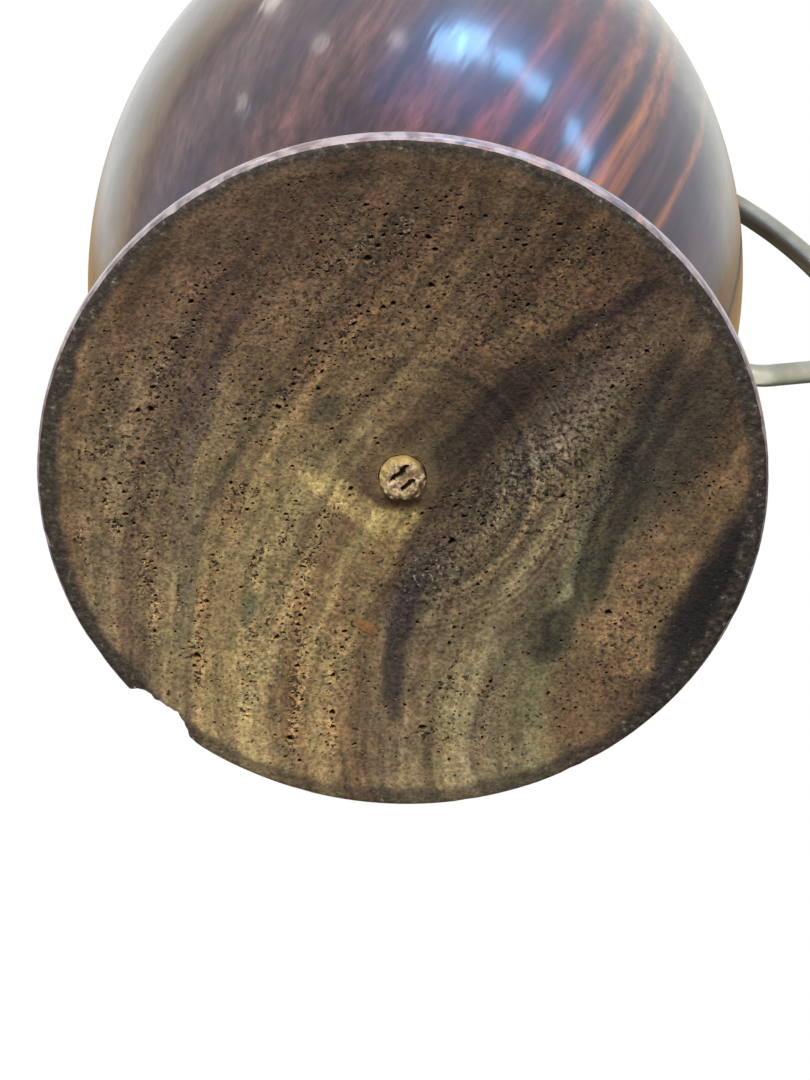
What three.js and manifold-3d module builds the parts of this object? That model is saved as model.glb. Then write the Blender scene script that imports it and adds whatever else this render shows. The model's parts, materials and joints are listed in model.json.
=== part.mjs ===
// A turned wooden jug with a bent metal rod for a handle.
// Units are millimetres, +Z is up, and the handle points along +X with the pouring lip opposite it.
// The turning axis is built on x = 0, y = 0; at the end the whole jug is moved along X, so that
// the origin is the middle of its outer box, on the surface that it stands on.

import * as THREE from 'three';
import { mergeVertices } from 'three/addons/utils/BufferGeometryUtils.js';
import Module from 'manifold-3d';

const wasm = await Module();
wasm.setup();

// Foot and underside
const footRadius = 55;
const footEdgeHeight = 4;
const footEdgeRounding = 1.2;
const bearingRingWidth = 2.4;
const bearingRingDepth = 0.5;
const hollowDepth = 3.2;
const coveHeight = 9;
const waistRadius = 38.5;
const waistToBellyHeight = 11;

// Belly, part of one long ellipse turned about the axis
const bellyRadius = 55.6;
const bellyHeight = 96.4;
const bellyHalfLength = 109.5;
const shoulderAboveBelly = 63.6;

// Neck, mouth and the lip carved opposite the handle
const neckRadius = 31;
const neckAboveShoulder = 28;
const rimFlare = 5.5;
const rimAboveNeck = 18;
const lipReach = 11;
const lipRise = 3;
const lipBelowNeck = 12;
const lipHalfWidth = THREE.MathUtils.degToRad(26);

// Walls
const bellyWall = 7;
const neckWall = 5.5;
const rimWall = 4.2;
const floorHeight = 16;

// Plug in the chucking hole under the base, with two short cuts across its face
const plugRadius = 3.6;
const plugFaceHeight = 1.4;
const plugLength = 9;
const plugChamfer = 0.4;
const plugClearance = 0.15;
const plugHoleSpare = 0.5;
const plugCutWidth = 0.5;
const plugCutDepth = 1.1;
const plugCutAngle = THREE.MathUtils.degToRad(-54);
const plugCuts = [
  { across: -1.15, along: 0.55, length: 3.7 },
  { across: 1.15, along: 0.15, length: 2.9 },
];

// Chip broken out of the foot's edge: three shallow bites beside each other
const chipBites = [
  { azimuth: 126.1, radius: 3.2, depth: 2.4 },
  { azimuth: 121, radius: 4.5, depth: 2.9 },
  { azimuth: 117.2, radius: 3.4, depth: 1.3 },
];
const chipUprightStretch = 1.8;

// Handle: one rod, thicker at its upper end, with a thinner stud at each end
const rodTopRadius = 2.2;
const rodBottomRadius = 1.85;
const studRadius = 1.5;
const studBeyondNut = 1.2;
const upperHoleAboveBelly = 62.1;
const lowerHoleBelowBelly = 26;
const fingerRoom = 23;
const bowAboveLowerHole = 26;
const upperBendPull = 11.2;
const bowPull = 30;
const lowerArmSlope = THREE.MathUtils.degToRad(35.3);
const lowerBendLength = 2.8;

// Fixings: a collar outside the wall, a washer and a nut inside it, at each end of the rod
const collarRadius = 4;
const collarTopRadius = 3;
const collarHeight = 1.5;
const collarSeatDepth = 0.7;
const collarSkirt = 4;
const washerRadius = 4;
const washerThickness = 0.8;
const nutAcrossFlats = 5.5;
const nutThickness = 2.4;
const studClearance = 0.25;
const rodClearance = 0.2;
const seatClearance = 0.3;
const spotFaceDepth = 0.3;
const spotFaceMargin = 0.5;

// How finely round shapes are cut
const bodySides = 60;
const smallSides = 20;
const rodSides = 14;

// Heights that follow from the sizes above
const waistHeight = footEdgeHeight + coveHeight;
const bellyStartHeight = waistHeight + waistToBellyHeight;
const shoulderHeight = bellyHeight + shoulderAboveBelly;
const neckHeight = shoulderHeight + neckAboveShoulder;
const rimRadius = neckRadius + rimFlare;
const rimHeight = neckHeight + rimAboveNeck;
const upperHoleHeight = bellyHeight + upperHoleAboveBelly;
const lowerHoleHeight = bellyHeight - lowerHoleBelowBelly;

// A closed geometry as a solid that can be joined and cut
function toSolid(geometry) {
  const bare = geometry.clone();
  bare.deleteAttribute('normal');
  bare.deleteAttribute('uv');
  const merged = mergeVertices(bare, 1e-4);
  const corners = merged.index.array;
  const triangles = [];
  for (let i = 0; i < corners.length; i += 3) {
    const [a, b, c] = [corners[i], corners[i + 1], corners[i + 2]];
    if (a !== b && b !== c && c !== a) triangles.push(a, b, c);
  }
  return new wasm.Manifold(new wasm.Mesh({
    numProp: 3,
    vertProperties: new Float32Array(merged.attributes.position.array),
    triVerts: new Uint32Array(triangles),
  }));
}

function toGeometry(solid) {
  const { vertProperties, triVerts } = solid.getMesh();
  const geometry = new THREE.BufferGeometry();
  geometry.setAttribute('position', new THREE.BufferAttribute(vertProperties, 3));
  geometry.setIndex(new THREE.BufferAttribute(triVerts, 1));
  geometry.computeVertexNormals();
  return geometry;
}

// A profile of radius and height, turned about the Z axis
function turned(profile, sides) {
  const geometry = new THREE.LatheGeometry(profile, sides);
  geometry.rotateX(Math.PI / 2);
  return geometry;
}

// The same, turned about the X axis: the profile's height runs along +X
function turnedAlongX(profile, sides) {
  const geometry = turned(profile, sides);
  geometry.rotateY(Math.PI / 2);
  return geometry;
}

function curvePoints(curve, steps) {
  return curve.getPoints(steps).slice(1);
}

function quarterTurn(centreX, centreY, radius, startAngle, steps) {
  const arc = new THREE.EllipseCurve(
    centreX, centreY, radius, radius, startAngle, startAngle + Math.PI / 2, false, 0,
  );
  return curvePoints(arc, steps);
}

// Radius of an ellipse about the belly's widest height
function ellipseRadius(widest, halfLength, height) {
  return widest * Math.sqrt(1 - ((height - bellyHeight) / halfLength) ** 2);
}

function ellipseSlope(widest, halfLength, height) {
  const share = (height - bellyHeight) / halfLength;
  return (-widest * share) / (halfLength * Math.sqrt(1 - share ** 2));
}

function outerRadius(height) {
  return ellipseRadius(bellyRadius, bellyHalfLength, height);
}

function hollowHalfLength(height) {
  return height < bellyHeight ? bellyHeight - floorHeight : bellyHalfLength;
}

function hollowRadius(height) {
  return ellipseRadius(bellyRadius - bellyWall, hollowHalfLength(height), height);
}

function sampleHeights(radiusAt, from, to, steps) {
  const points = [];
  for (let i = 1; i <= steps; i += 1) {
    const height = from + ((to - from) * i) / steps;
    points.push(new THREE.Vector2(radiusAt(height), height));
  }
  return points;
}

// The belly's outside, from above the waist through its widest height to the shoulder
function bellyProfile() {
  return [
    ...sampleHeights(outerRadius, bellyStartHeight, bellyHeight, 5),
    ...sampleHeights(outerRadius, bellyHeight, shoulderHeight, 5),
  ];
}

// The shoulder and the flared neck, from the belly's ellipse up to the rim
function neckProfile(startRadius, startSlope, throatRadius, mouthRadius, mouthHeight) {
  const shoulderPull = 0.45 * neckAboveShoulder;
  const flarePull = 0.5 * (mouthHeight - neckHeight);
  const shoulder = new THREE.CubicBezierCurve(
    new THREE.Vector2(startRadius, shoulderHeight),
    new THREE.Vector2(startRadius + startSlope * shoulderPull, shoulderHeight + shoulderPull),
    new THREE.Vector2(throatRadius, neckHeight - shoulderPull),
    new THREE.Vector2(throatRadius, neckHeight),
  );
  const flare = new THREE.QuadraticBezierCurve(
    new THREE.Vector2(throatRadius, neckHeight),
    new THREE.Vector2(throatRadius, neckHeight + flarePull),
    new THREE.Vector2(mouthRadius, mouthHeight),
  );
  return [...curvePoints(shoulder, 5), ...curvePoints(flare, 4)];
}

// Underside: hole for the plug, shallow hollow, bearing ring and the foot's rounded edge
function undersideProfile() {
  const holeRadius = plugRadius + plugClearance;
  const holeTop = plugFaceHeight + plugLength + plugHoleSpare;
  const ringRadius = footRadius - footEdgeRounding - bearingRingWidth;
  const hollow = new THREE.QuadraticBezierCurve(
    new THREE.Vector2(holeRadius, hollowDepth),
    new THREE.Vector2((holeRadius + ringRadius) / 2, hollowDepth),
    new THREE.Vector2(ringRadius - bearingRingDepth, bearingRingDepth),
  );
  const edgeCentre = footRadius - footEdgeRounding;
  return [
    new THREE.Vector2(0, holeTop),
    new THREE.Vector2(holeRadius, holeTop),
    new THREE.Vector2(holeRadius, hollowDepth),
    ...curvePoints(hollow, 5),
    new THREE.Vector2(ringRadius, 0),
    new THREE.Vector2(edgeCentre, 0),
    ...quarterTurn(edgeCentre, footEdgeRounding, footEdgeRounding, -Math.PI / 2, 3),
    ...quarterTurn(edgeCentre, footEdgeHeight - footEdgeRounding, footEdgeRounding, 0, 3),
  ];
}

// Outside of the body: cove above the foot, belly, shoulder, neck and rim
function outsideProfile() {
  const coveDepth = footRadius - footEdgeRounding - waistRadius;
  const cove = new THREE.EllipseCurve(
    footRadius - footEdgeRounding, waistHeight, coveDepth, coveHeight, 1.5 * Math.PI, Math.PI, true, 0,
  );
  const startRadius = outerRadius(bellyStartHeight);
  const startSlope = ellipseSlope(bellyRadius, bellyHalfLength, bellyStartHeight);
  const waist = new THREE.QuadraticBezierCurve(
    new THREE.Vector2(waistRadius, waistHeight),
    new THREE.Vector2(waistRadius, bellyStartHeight - (startRadius - waistRadius) / startSlope),
    new THREE.Vector2(startRadius, bellyStartHeight),
  );
  return [
    ...curvePoints(cove, 5),
    ...curvePoints(waist, 3),
    ...bellyProfile(),
    ...neckProfile(
      outerRadius(shoulderHeight),
      ellipseSlope(bellyRadius, bellyHalfLength, shoulderHeight),
      neckRadius,
      rimRadius,
      rimHeight - rimWall / 2,
    ),
  ];
}

// Inside of the body, from the rim down to the floor on the axis
function insideProfile() {
  const widest = bellyRadius - bellyWall;
  const neck = neckProfile(
    hollowRadius(shoulderHeight),
    ellipseSlope(widest, bellyHalfLength, shoulderHeight),
    neckRadius - neckWall,
    rimRadius - rimWall,
    rimHeight - rimWall / 2,
  );
  const floorCurve = new THREE.EllipseCurve(
    0, bellyHeight, widest, bellyHeight - floorHeight, 0, -Math.PI / 2, true, 0,
  );
  return [
    ...neck.reverse().slice(1),
    ...sampleHeights(hollowRadius, shoulderHeight, bellyHeight, 4),
    ...curvePoints(floorCurve, 8).slice(0, -1),
    new THREE.Vector2(0, floorHeight),
  ];
}

function rimProfile() {
  const middle = rimRadius - rimWall / 2;
  const height = rimHeight - rimWall / 2;
  return [
    ...quarterTurn(middle, height, rimWall / 2, 0, 3),
    ...quarterTurn(middle, height, rimWall / 2, Math.PI / 2, 3),
  ];
}

// Draws the turned mouth out into a lip on the -X side
function drawOutLip(geometry) {
  const place = geometry.attributes.position;
  const corner = new THREE.Vector3();
  for (let i = 0; i < place.count; i += 1) {
    corner.fromBufferAttribute(place, i);
    const radius = Math.hypot(corner.x, corner.y);
    const climb = THREE.MathUtils.smoothstep(corner.z, neckHeight - lipBelowNeck, rimHeight);
    const turn = Math.atan2(corner.y, -corner.x) / lipHalfWidth;
    const share = climb ** 2 * Math.exp(-(turn ** 2));
    if (radius > 0 && share > 1e-6) {
      corner.x *= 1 + (lipReach * share) / radius;
      corner.y *= 1 + (lipReach * share) / radius;
      corner.z += lipRise * share;
      place.setXYZ(i, corner.x, corner.y, corner.z);
    }
  }
}

function chipCutter() {
  const bites = chipBites.map(({ azimuth, radius, depth }) => {
    const turn = THREE.MathUtils.degToRad(azimuth);
    const reach = footRadius + radius - depth;
    const bite = new THREE.SphereGeometry(radius, 12, 8);
    bite.scale(1, 1, chipUprightStretch);
    bite.translate(reach * Math.cos(turn), reach * Math.sin(turn), 0);
    return toSolid(bite);
  });
  return bites.reduce((joined, bite) => joined.add(bite));
}

// A round bar along X, from one x to another at a height
function barAlongX(radius, fromX, toX, height) {
  const bar = new THREE.CylinderGeometry(radius, radius, toX - fromX, smallSides);
  bar.rotateZ(Math.PI / 2);
  bar.translate((fromX + toX) / 2, 0, height);
  return toSolid(bar);
}

// Where the flat seat for a washer lies inside the wall at a stud hole
function washerSeatX(holeHeight) {
  const reach = washerRadius + spotFaceMargin;
  const deepest = Math.max(hollowRadius(holeHeight - reach), hollowRadius(holeHeight + reach));
  return deepest + spotFaceDepth;
}

function makeBody() {
  const blank = turned([
    ...undersideProfile(), ...outsideProfile(), ...rimProfile(), ...insideProfile(),
  ], bodySides);
  drawOutLip(blank);
  let body = toSolid(blank).subtract(chipCutter());
  [upperHoleHeight, lowerHoleHeight].forEach((height) => {
    const seatX = washerSeatX(height);
    body = body.subtract(barAlongX(studRadius + studClearance, 0, 2 * bellyRadius, height));
    body = body.subtract(barAlongX(washerRadius + spotFaceMargin, 0, seatX, height));
  });
  return toGeometry(body);
}

function makePlug() {
  const plug = turned([
    new THREE.Vector2(0, 0),
    new THREE.Vector2(plugRadius - plugChamfer, 0),
    new THREE.Vector2(plugRadius, plugChamfer),
    new THREE.Vector2(plugRadius, plugLength),
    new THREE.Vector2(0, plugLength),
  ], smallSides);
  const cutPlug = plugCuts.reduce((solid, { across, along, length }) => {
    const cut = new THREE.BoxGeometry(length, plugCutWidth, 2 * plugCutDepth);
    cut.translate(along, across, 0);
    cut.rotateZ(plugCutAngle);
    return solid.subtract(toSolid(cut));
  }, toSolid(plug));
  return toGeometry(cutPlug);
}

// The belly's outside, a little larger, to shape the foot of a collar
function bellyWithGap() {
  const neck = neckProfile(
    outerRadius(shoulderHeight),
    ellipseSlope(bellyRadius, bellyHalfLength, shoulderHeight),
    neckRadius,
    rimRadius,
    rimHeight,
  );
  const grown = [...bellyProfile(), ...neck].map(
    ({ x, y }) => new THREE.Vector2(x + seatClearance, y),
  );
  return turned([
    new THREE.Vector2(0, grown[0].y),
    ...grown,
    new THREE.Vector2(0, grown[grown.length - 1].y),
  ], bodySides);
}

// How far out the collar's top lies, and where the rod's shoulder seats in it
function collarTopX(height) {
  return outerRadius(height) + seatClearance + collarHeight;
}

function rodShoulderX(height) {
  return collarTopX(height) - collarSeatDepth + seatClearance;
}

// A domed collar with its axis along +X and the wall's surface at x = 0 on that axis
function makeCollar(height, rodRadius) {
  const top = seatClearance + collarHeight;
  const bore = studRadius + studClearance;
  const socket = rodRadius + rodClearance;
  const dome = new THREE.QuadraticBezierCurve(
    new THREE.Vector2(collarRadius, seatClearance + 0.3 * collarHeight),
    new THREE.Vector2(collarRadius, top),
    new THREE.Vector2(collarTopRadius, top),
  );
  const collar = turnedAlongX([
    new THREE.Vector2(bore, -collarSkirt),
    new THREE.Vector2(collarRadius, -collarSkirt),
    new THREE.Vector2(collarRadius, seatClearance + 0.3 * collarHeight),
    ...curvePoints(dome, 4),
    new THREE.Vector2(socket, top),
    new THREE.Vector2(socket, top - collarSeatDepth),
    new THREE.Vector2(bore, top - collarSeatDepth),
    new THREE.Vector2(bore, -collarSkirt),
  ], smallSides);
  const belly = bellyWithGap();
  belly.translate(-outerRadius(height), 0, -height);
  return toGeometry(toSolid(collar).subtract(toSolid(belly)));
}

// A flat washer whose outer face is at x = 0 and whose thickness runs inwards
function makeWasher() {
  const bore = studRadius + studClearance;
  return turnedAlongX([
    new THREE.Vector2(bore, -washerThickness),
    new THREE.Vector2(washerRadius, -washerThickness),
    new THREE.Vector2(washerRadius, 0),
    new THREE.Vector2(bore, 0),
    new THREE.Vector2(bore, -washerThickness),
  ], smallSides);
}

// A hexagon nut whose outer face is at x = 0 and whose thickness runs inwards
function makeNut() {
  const cornerRadius = nutAcrossFlats / Math.sqrt(3);
  const outline = new THREE.Shape();
  for (let corner = 0; corner < 6; corner += 1) {
    const turn = (corner * Math.PI) / 3;
    const [x, y] = [cornerRadius * Math.cos(turn), cornerRadius * Math.sin(turn)];
    if (corner === 0) outline.moveTo(x, y);
    else outline.lineTo(x, y);
  }
  outline.closePath();
  const bore = new THREE.Path();
  bore.absarc(0, 0, studRadius + studClearance, 0, 2 * Math.PI, true);
  outline.holes.push(bore);
  const nut = new THREE.ExtrudeGeometry(outline, {
    depth: nutThickness, bevelEnabled: false, curveSegments: 8,
  });
  nut.translate(0, 0, -nutThickness);
  nut.rotateY(Math.PI / 2);
  return nut;
}

function inPlane(x, z) {
  return new THREE.Vector3(x, 0, z);
}

// The rod's centreline: stud, upper bend and bow, lower corner, lower arm, bend, stud
function handleStretches() {
  const washerStack = 2 * seatClearance + washerThickness + nutThickness + studBeyondNut;
  const upperShoulder = inPlane(rodShoulderX(upperHoleHeight), upperHoleHeight);
  const lowerShoulder = inPlane(rodShoulderX(lowerHoleHeight), lowerHoleHeight);
  const upperStart = inPlane(collarTopX(upperHoleHeight), upperHoleHeight);
  const reach = bellyRadius + fingerRoom;
  const outermost = inPlane(reach, lowerHoleHeight + bowAboveLowerHole);
  const bow = new THREE.CubicBezierCurve3(
    upperStart,
    inPlane(upperStart.x + upperBendPull, upperStart.z),
    inPlane(outermost.x, outermost.z + bowPull),
    outermost,
  );
  const bendCorner = inPlane(collarTopX(lowerHoleHeight) + lowerBendLength, lowerHoleHeight);
  const lowerCorner = inPlane(
    reach, lowerHoleHeight + (reach - bendCorner.x) * Math.tan(lowerArmSlope),
  );
  const alongArm = new THREE.Vector3().subVectors(bendCorner, lowerCorner).normalize();
  const cornerLength = outermost.z - lowerCorner.z;
  const armStart = lowerCorner.clone().addScaledVector(alongArm, cornerLength);
  const armEnd = bendCorner.clone().addScaledVector(alongArm, -lowerBendLength);
  const lowerEnd = inPlane(collarTopX(lowerHoleHeight), lowerHoleHeight);
  return [
    {
      curve: new THREE.LineCurve3(
        inPlane(washerSeatX(upperHoleHeight) - washerStack, upperHoleHeight), upperShoulder,
      ),
      steps: 1,
      stud: true,
    },
    { curve: new THREE.LineCurve3(upperShoulder, upperStart), steps: 1 },
    { curve: bow, steps: 18 },
    { curve: new THREE.QuadraticBezierCurve3(outermost, lowerCorner, armStart), steps: 6 },
    { curve: new THREE.LineCurve3(armStart, armEnd), steps: 1 },
    { curve: new THREE.QuadraticBezierCurve3(armEnd, bendCorner, lowerEnd), steps: 4 },
    { curve: new THREE.LineCurve3(lowerEnd, lowerShoulder), steps: 1 },
    {
      curve: new THREE.LineCurve3(
        lowerShoulder, inPlane(washerSeatX(lowerHoleHeight) - washerStack, lowerHoleHeight),
      ),
      steps: 1,
      stud: true,
    },
  ];
}

// The rod thins evenly with height, from its upper hole down to its lower one
function rodRadiusAt(height) {
  return THREE.MathUtils.mapLinear(
    height, lowerHoleHeight, upperHoleHeight, rodBottomRadius, rodTopRadius,
  );
}

function handleRings() {
  const rings = [];
  handleStretches().forEach(({ curve, steps, stud }, index, all) => {
    const joinsSmoothly = index > 0 && Boolean(all[index - 1].stud) === Boolean(stud);
    for (let i = joinsSmoothly ? 1 : 0; i <= steps; i += 1) {
      const centre = curve.getPoint(i / steps);
      const radius = stud ? studRadius : rodRadiusAt(centre.z);
      rings.push({ centre, along: curve.getTangent(i / steps), radius });
    }
  });
  return rings;
}

// A round rod through rings that all lie across one plane curve, closed by a flat end each way
function makeHandle() {
  const rings = handleRings();
  const places = [];
  const triangles = [];
  const sideways = new THREE.Vector3(0, 1, 0);
  rings.forEach(({ centre, along, radius }) => {
    const across = new THREE.Vector3().crossVectors(along, sideways).normalize();
    for (let side = 0; side < rodSides; side += 1) {
      const turn = (2 * Math.PI * side) / rodSides;
      const corner = centre.clone();
      corner.addScaledVector(across, radius * Math.cos(turn));
      corner.addScaledVector(sideways, radius * Math.sin(turn));
      places.push(corner.x, corner.y, corner.z);
    }
  });
  for (let ring = 0; ring < rings.length - 1; ring += 1) {
    for (let side = 0; side < rodSides; side += 1) {
      const a = ring * rodSides + side;
      const b = ring * rodSides + ((side + 1) % rodSides);
      triangles.push(a, a + rodSides, b, b, a + rodSides, b + rodSides);
    }
  }
  const lastRing = (rings.length - 1) * rodSides;
  for (let side = 1; side < rodSides - 1; side += 1) {
    triangles.push(0, side, side + 1);
    triangles.push(lastRing, lastRing + side + 1, lastRing + side);
  }
  const handle = new THREE.BufferGeometry();
  handle.setAttribute('position', new THREE.Float32BufferAttribute(places, 3));
  handle.setIndex(triangles);
  handle.computeVertexNormals();
  return handle;
}

const darkWood = new THREE.MeshStandardMaterial({ color: 0x6b4a38, roughness: 0.35 });
const paleWood = new THREE.MeshStandardMaterial({ color: 0xb59a6d, roughness: 0.8 });
const whiteMetal = new THREE.MeshStandardMaterial({ color: 0xa5a592, roughness: 0.35, metalness: 1 });
const screwMetal = new THREE.MeshStandardMaterial({ color: 0xb0a070, roughness: 0.4, metalness: 1 });

const jug = new THREE.Group();

function addPiece(name, geometry, material, x, height) {
  const piece = new THREE.Mesh(geometry, material);
  piece.name = name;
  piece.position.set(x, 0, height);
  jug.add(piece);
}

addPiece('body', makeBody(), darkWood, 0, 0);
addPiece('base_plug', makePlug(), paleWood, 0, plugFaceHeight);
addPiece('handle', makeHandle(), whiteMetal, 0, 0);

[
  { end: 'upper', height: upperHoleHeight },
  { end: 'lower', height: lowerHoleHeight },
].forEach(({ end, height }) => {
  const washerX = washerSeatX(height) - seatClearance;
  const nutX = washerX - washerThickness - seatClearance;
  const collar = makeCollar(height, rodRadiusAt(height));
  addPiece(`${end}_collar`, collar, whiteMetal, outerRadius(height), height);
  addPiece(`${end}_washer`, makeWasher(), screwMetal, washerX, height);
  addPiece(`${end}_nut`, makeNut(), screwMetal, nutX, height);
});

const box = new THREE.Box3().setFromObject(jug);
jug.position.x = -(box.min.x + box.max.x) / 2;

export default jug;
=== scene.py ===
# %% [markdown]
# # A turned wooden jug, seen from underneath
# The object is a tall hollow jug of dark striped hardwood with a bent metal rod for a handle.
# The photograph looks up at its foot, so the bare, pitted end grain fills the picture, and the
# polished belly shows behind it. This lesson builds every piece as a mesh from formulas, gives
# each one the finish of its real material, and lights it in a plain studio.
# The CAD model is loaded first. It is the ruler: pieces are put where its nodes are.

# %% Load the CAD frame
import json
import math
import random

import bpy
import numpy as np
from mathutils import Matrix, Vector, noise
from mathutils.geometry import delaunay_2d_cdt

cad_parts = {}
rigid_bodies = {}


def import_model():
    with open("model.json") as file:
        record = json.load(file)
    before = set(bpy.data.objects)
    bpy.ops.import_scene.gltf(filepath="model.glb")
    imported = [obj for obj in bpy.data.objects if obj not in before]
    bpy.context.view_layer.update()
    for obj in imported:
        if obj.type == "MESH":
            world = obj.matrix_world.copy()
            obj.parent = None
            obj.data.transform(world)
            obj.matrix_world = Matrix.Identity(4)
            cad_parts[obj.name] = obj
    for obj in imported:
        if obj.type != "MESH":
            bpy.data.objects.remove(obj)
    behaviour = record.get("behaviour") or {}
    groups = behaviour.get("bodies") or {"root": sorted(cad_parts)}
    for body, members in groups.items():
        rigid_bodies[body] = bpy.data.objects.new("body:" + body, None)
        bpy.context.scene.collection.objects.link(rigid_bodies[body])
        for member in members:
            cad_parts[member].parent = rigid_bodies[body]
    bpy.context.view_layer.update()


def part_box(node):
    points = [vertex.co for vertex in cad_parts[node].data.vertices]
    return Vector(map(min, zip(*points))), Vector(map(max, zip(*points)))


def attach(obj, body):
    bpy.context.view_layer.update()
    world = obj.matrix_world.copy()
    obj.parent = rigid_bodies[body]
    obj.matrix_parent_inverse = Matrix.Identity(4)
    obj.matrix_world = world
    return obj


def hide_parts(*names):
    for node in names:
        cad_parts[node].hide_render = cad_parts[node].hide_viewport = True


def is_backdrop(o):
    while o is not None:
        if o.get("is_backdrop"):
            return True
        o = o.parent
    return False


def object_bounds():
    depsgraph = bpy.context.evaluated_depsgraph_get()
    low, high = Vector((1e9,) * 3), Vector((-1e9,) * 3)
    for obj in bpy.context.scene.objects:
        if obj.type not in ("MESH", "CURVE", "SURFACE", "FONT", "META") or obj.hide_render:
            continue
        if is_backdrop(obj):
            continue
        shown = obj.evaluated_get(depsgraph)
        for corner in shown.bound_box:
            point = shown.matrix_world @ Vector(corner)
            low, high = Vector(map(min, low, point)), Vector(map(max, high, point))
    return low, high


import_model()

MM = 0.001
plug_low, plug_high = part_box("base_plug")
axis_x = (plug_low[0] + plug_high[0]) / 2 / MM
print("turning axis at x =", round(axis_x, 3), "mm")

# %% [markdown]
# ## The camera
# The photograph's viewpoint was worked out from the foot's circle: a circle seen at an angle
# turns into an ellipse, and the way its near side grows gives the distance. The camera looks
# from below, tilted 25 degrees off the turning axis, and is rolled by a few degrees. Places on
# the foot are easiest to give as the picture shows them, so one function turns a direction in
# the picture into one in the part's frame.

# %% Camera at the photograph's place
photo_width = 810
photo_height = 1080
focal_pixels = 4031
foot_pixel = (401.9, 485.5)
camera_distance = 605
tilt = math.radians(25.25)
roll = math.radians(3.51)
handle_turn = math.radians(-8)
film_height = 36


def from_picture(right, up, along):
    """A direction given across the foot as the picture shows it, in the part's frame."""
    return Vector((
        right * math.cos(handle_turn) + up * math.sin(handle_turn),
        right * math.sin(handle_turn) - up * math.cos(handle_turn),
        along,
    ))


cos_roll, sin_roll = math.cos(roll), math.sin(roll)
cos_tilt, sin_tilt = math.cos(tilt), math.sin(tilt)
camera_right = from_picture(cos_roll, sin_roll * cos_tilt, sin_roll * sin_tilt)
camera_up = from_picture(-sin_roll, cos_roll * cos_tilt, cos_roll * sin_tilt)
camera_back = from_picture(0, sin_tilt, -cos_tilt)
aside = (foot_pixel[0] - photo_width / 2) * camera_distance / focal_pixels
above = (photo_height / 2 - foot_pixel[1]) * camera_distance / focal_pixels
camera_place = camera_back * camera_distance - camera_right * aside - camera_up * above

camera_data = bpy.data.cameras.new("photo camera")
camera_data.sensor_fit = "VERTICAL"
camera_data.sensor_height = film_height
camera_data.lens = focal_pixels / photo_height * film_height
camera_data.clip_start = 0.01
camera = bpy.data.objects.new("photo camera", camera_data)
bpy.context.scene.collection.objects.link(camera)
for column, direction in enumerate((camera_right, camera_up, camera_back)):
    for row in range(3):
        camera.matrix_world[row][column] = direction[row]
camera.location = (camera_place + Vector((axis_x, 0, 0))) * MM
bpy.context.scene.camera = camera
print("camera at", [round(value, 4) for value in camera.location], "lens", round(camera_data.lens, 1))

# %% [markdown]
# ## Colours and nodes
# Colours are written as the hex values that a paint program shows. Blender's shaders want
# linear light, so one function converts them. A second one adds a shader node, sets its
# options and fills or links its sockets, which keeps each material readable as a recipe.
# Sockets are named by number where the name is the same for several: a Map Range takes its
# value at 0, the value's low and high end at 1 and 2, and what they become at 3 and 4. A colour
# Mix takes its share at 0 and its two colours at 6 and 7.

# %% One function for colours, one for nodes
colour_mix = {"out": 2, "data_type": "RGBA"}
colour_product = {**colour_mix, "blend_type": "MULTIPLY"}


def linear(hex_colour):
    """A hex colour as Blender's linear red, green, blue and alpha."""
    parts = [int(hex_colour[i:i + 2], 16) / 255 for i in (1, 3, 5)]
    return [c / 12.92 if c <= 0.04045 else ((c + 0.055) / 1.055) ** 2.4 for c in parts] + [1.0]


def add(tree, kind, sockets=None, out=0, stops=None, **options):
    """Adds a node and returns one of its outputs. Sockets take a value or another output."""
    node = tree.nodes.new("ShaderNode" + kind)
    for name, value in options.items():
        setattr(node, name, value)
    if stops:
        ramp = node.color_ramp
        ramp.elements[0].position, ramp.elements[0].color = stops[0][0], linear(stops[0][1])
        ramp.elements[1].position, ramp.elements[1].color = stops[-1][0], linear(stops[-1][1])
        for position, colour in stops[1:-1]:
            ramp.elements.new(position).color = linear(colour)
    for socket, value in (sockets or {}).items():
        if isinstance(value, bpy.types.NodeSocket):
            tree.links.new(value, node.inputs[socket])
        elif isinstance(value, str):
            node.inputs[socket].default_value = linear(value)
        else:
            node.inputs[socket].default_value = value
    return node.outputs[out] if node.outputs else None


def new_material(name):
    """An empty node material and its tree."""
    material = bpy.data.materials.new(name)
    material.use_nodes = True
    material.node_tree.nodes.clear()
    return material, material.node_tree


def looking_rays(tree):
    """Light Path's outputs, and a socket that is 1 for camera, glossy and transmission rays."""
    rays = add(tree, "LightPath").node.outputs
    seen = add(tree, "Math", {0: rays["Is Camera Ray"], 1: rays["Is Glossy Ray"]}, operation="MAXIMUM")
    seen = add(tree, "Math", {0: seen, 1: rays["Is Transmission Ray"]}, operation="MAXIMUM")
    return rays, seen


print("linear value of a mid grey:", [round(value, 3) for value in linear("#808080")])

# %% [markdown]
# ## The floor
# The jug stands upright on a pale floor, and the photograph looks at it from under that floor.
# So the floor is a one-sided sheet: seen from above it is a pale surface that takes the
# jug's shadow, and from below it lets everything through. It fades out into a white world.

# %% One-sided floor
floor_reach = 1.0
floor_drop = 0.0003
fade_start = 0.25
fade_end = 0.8

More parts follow.
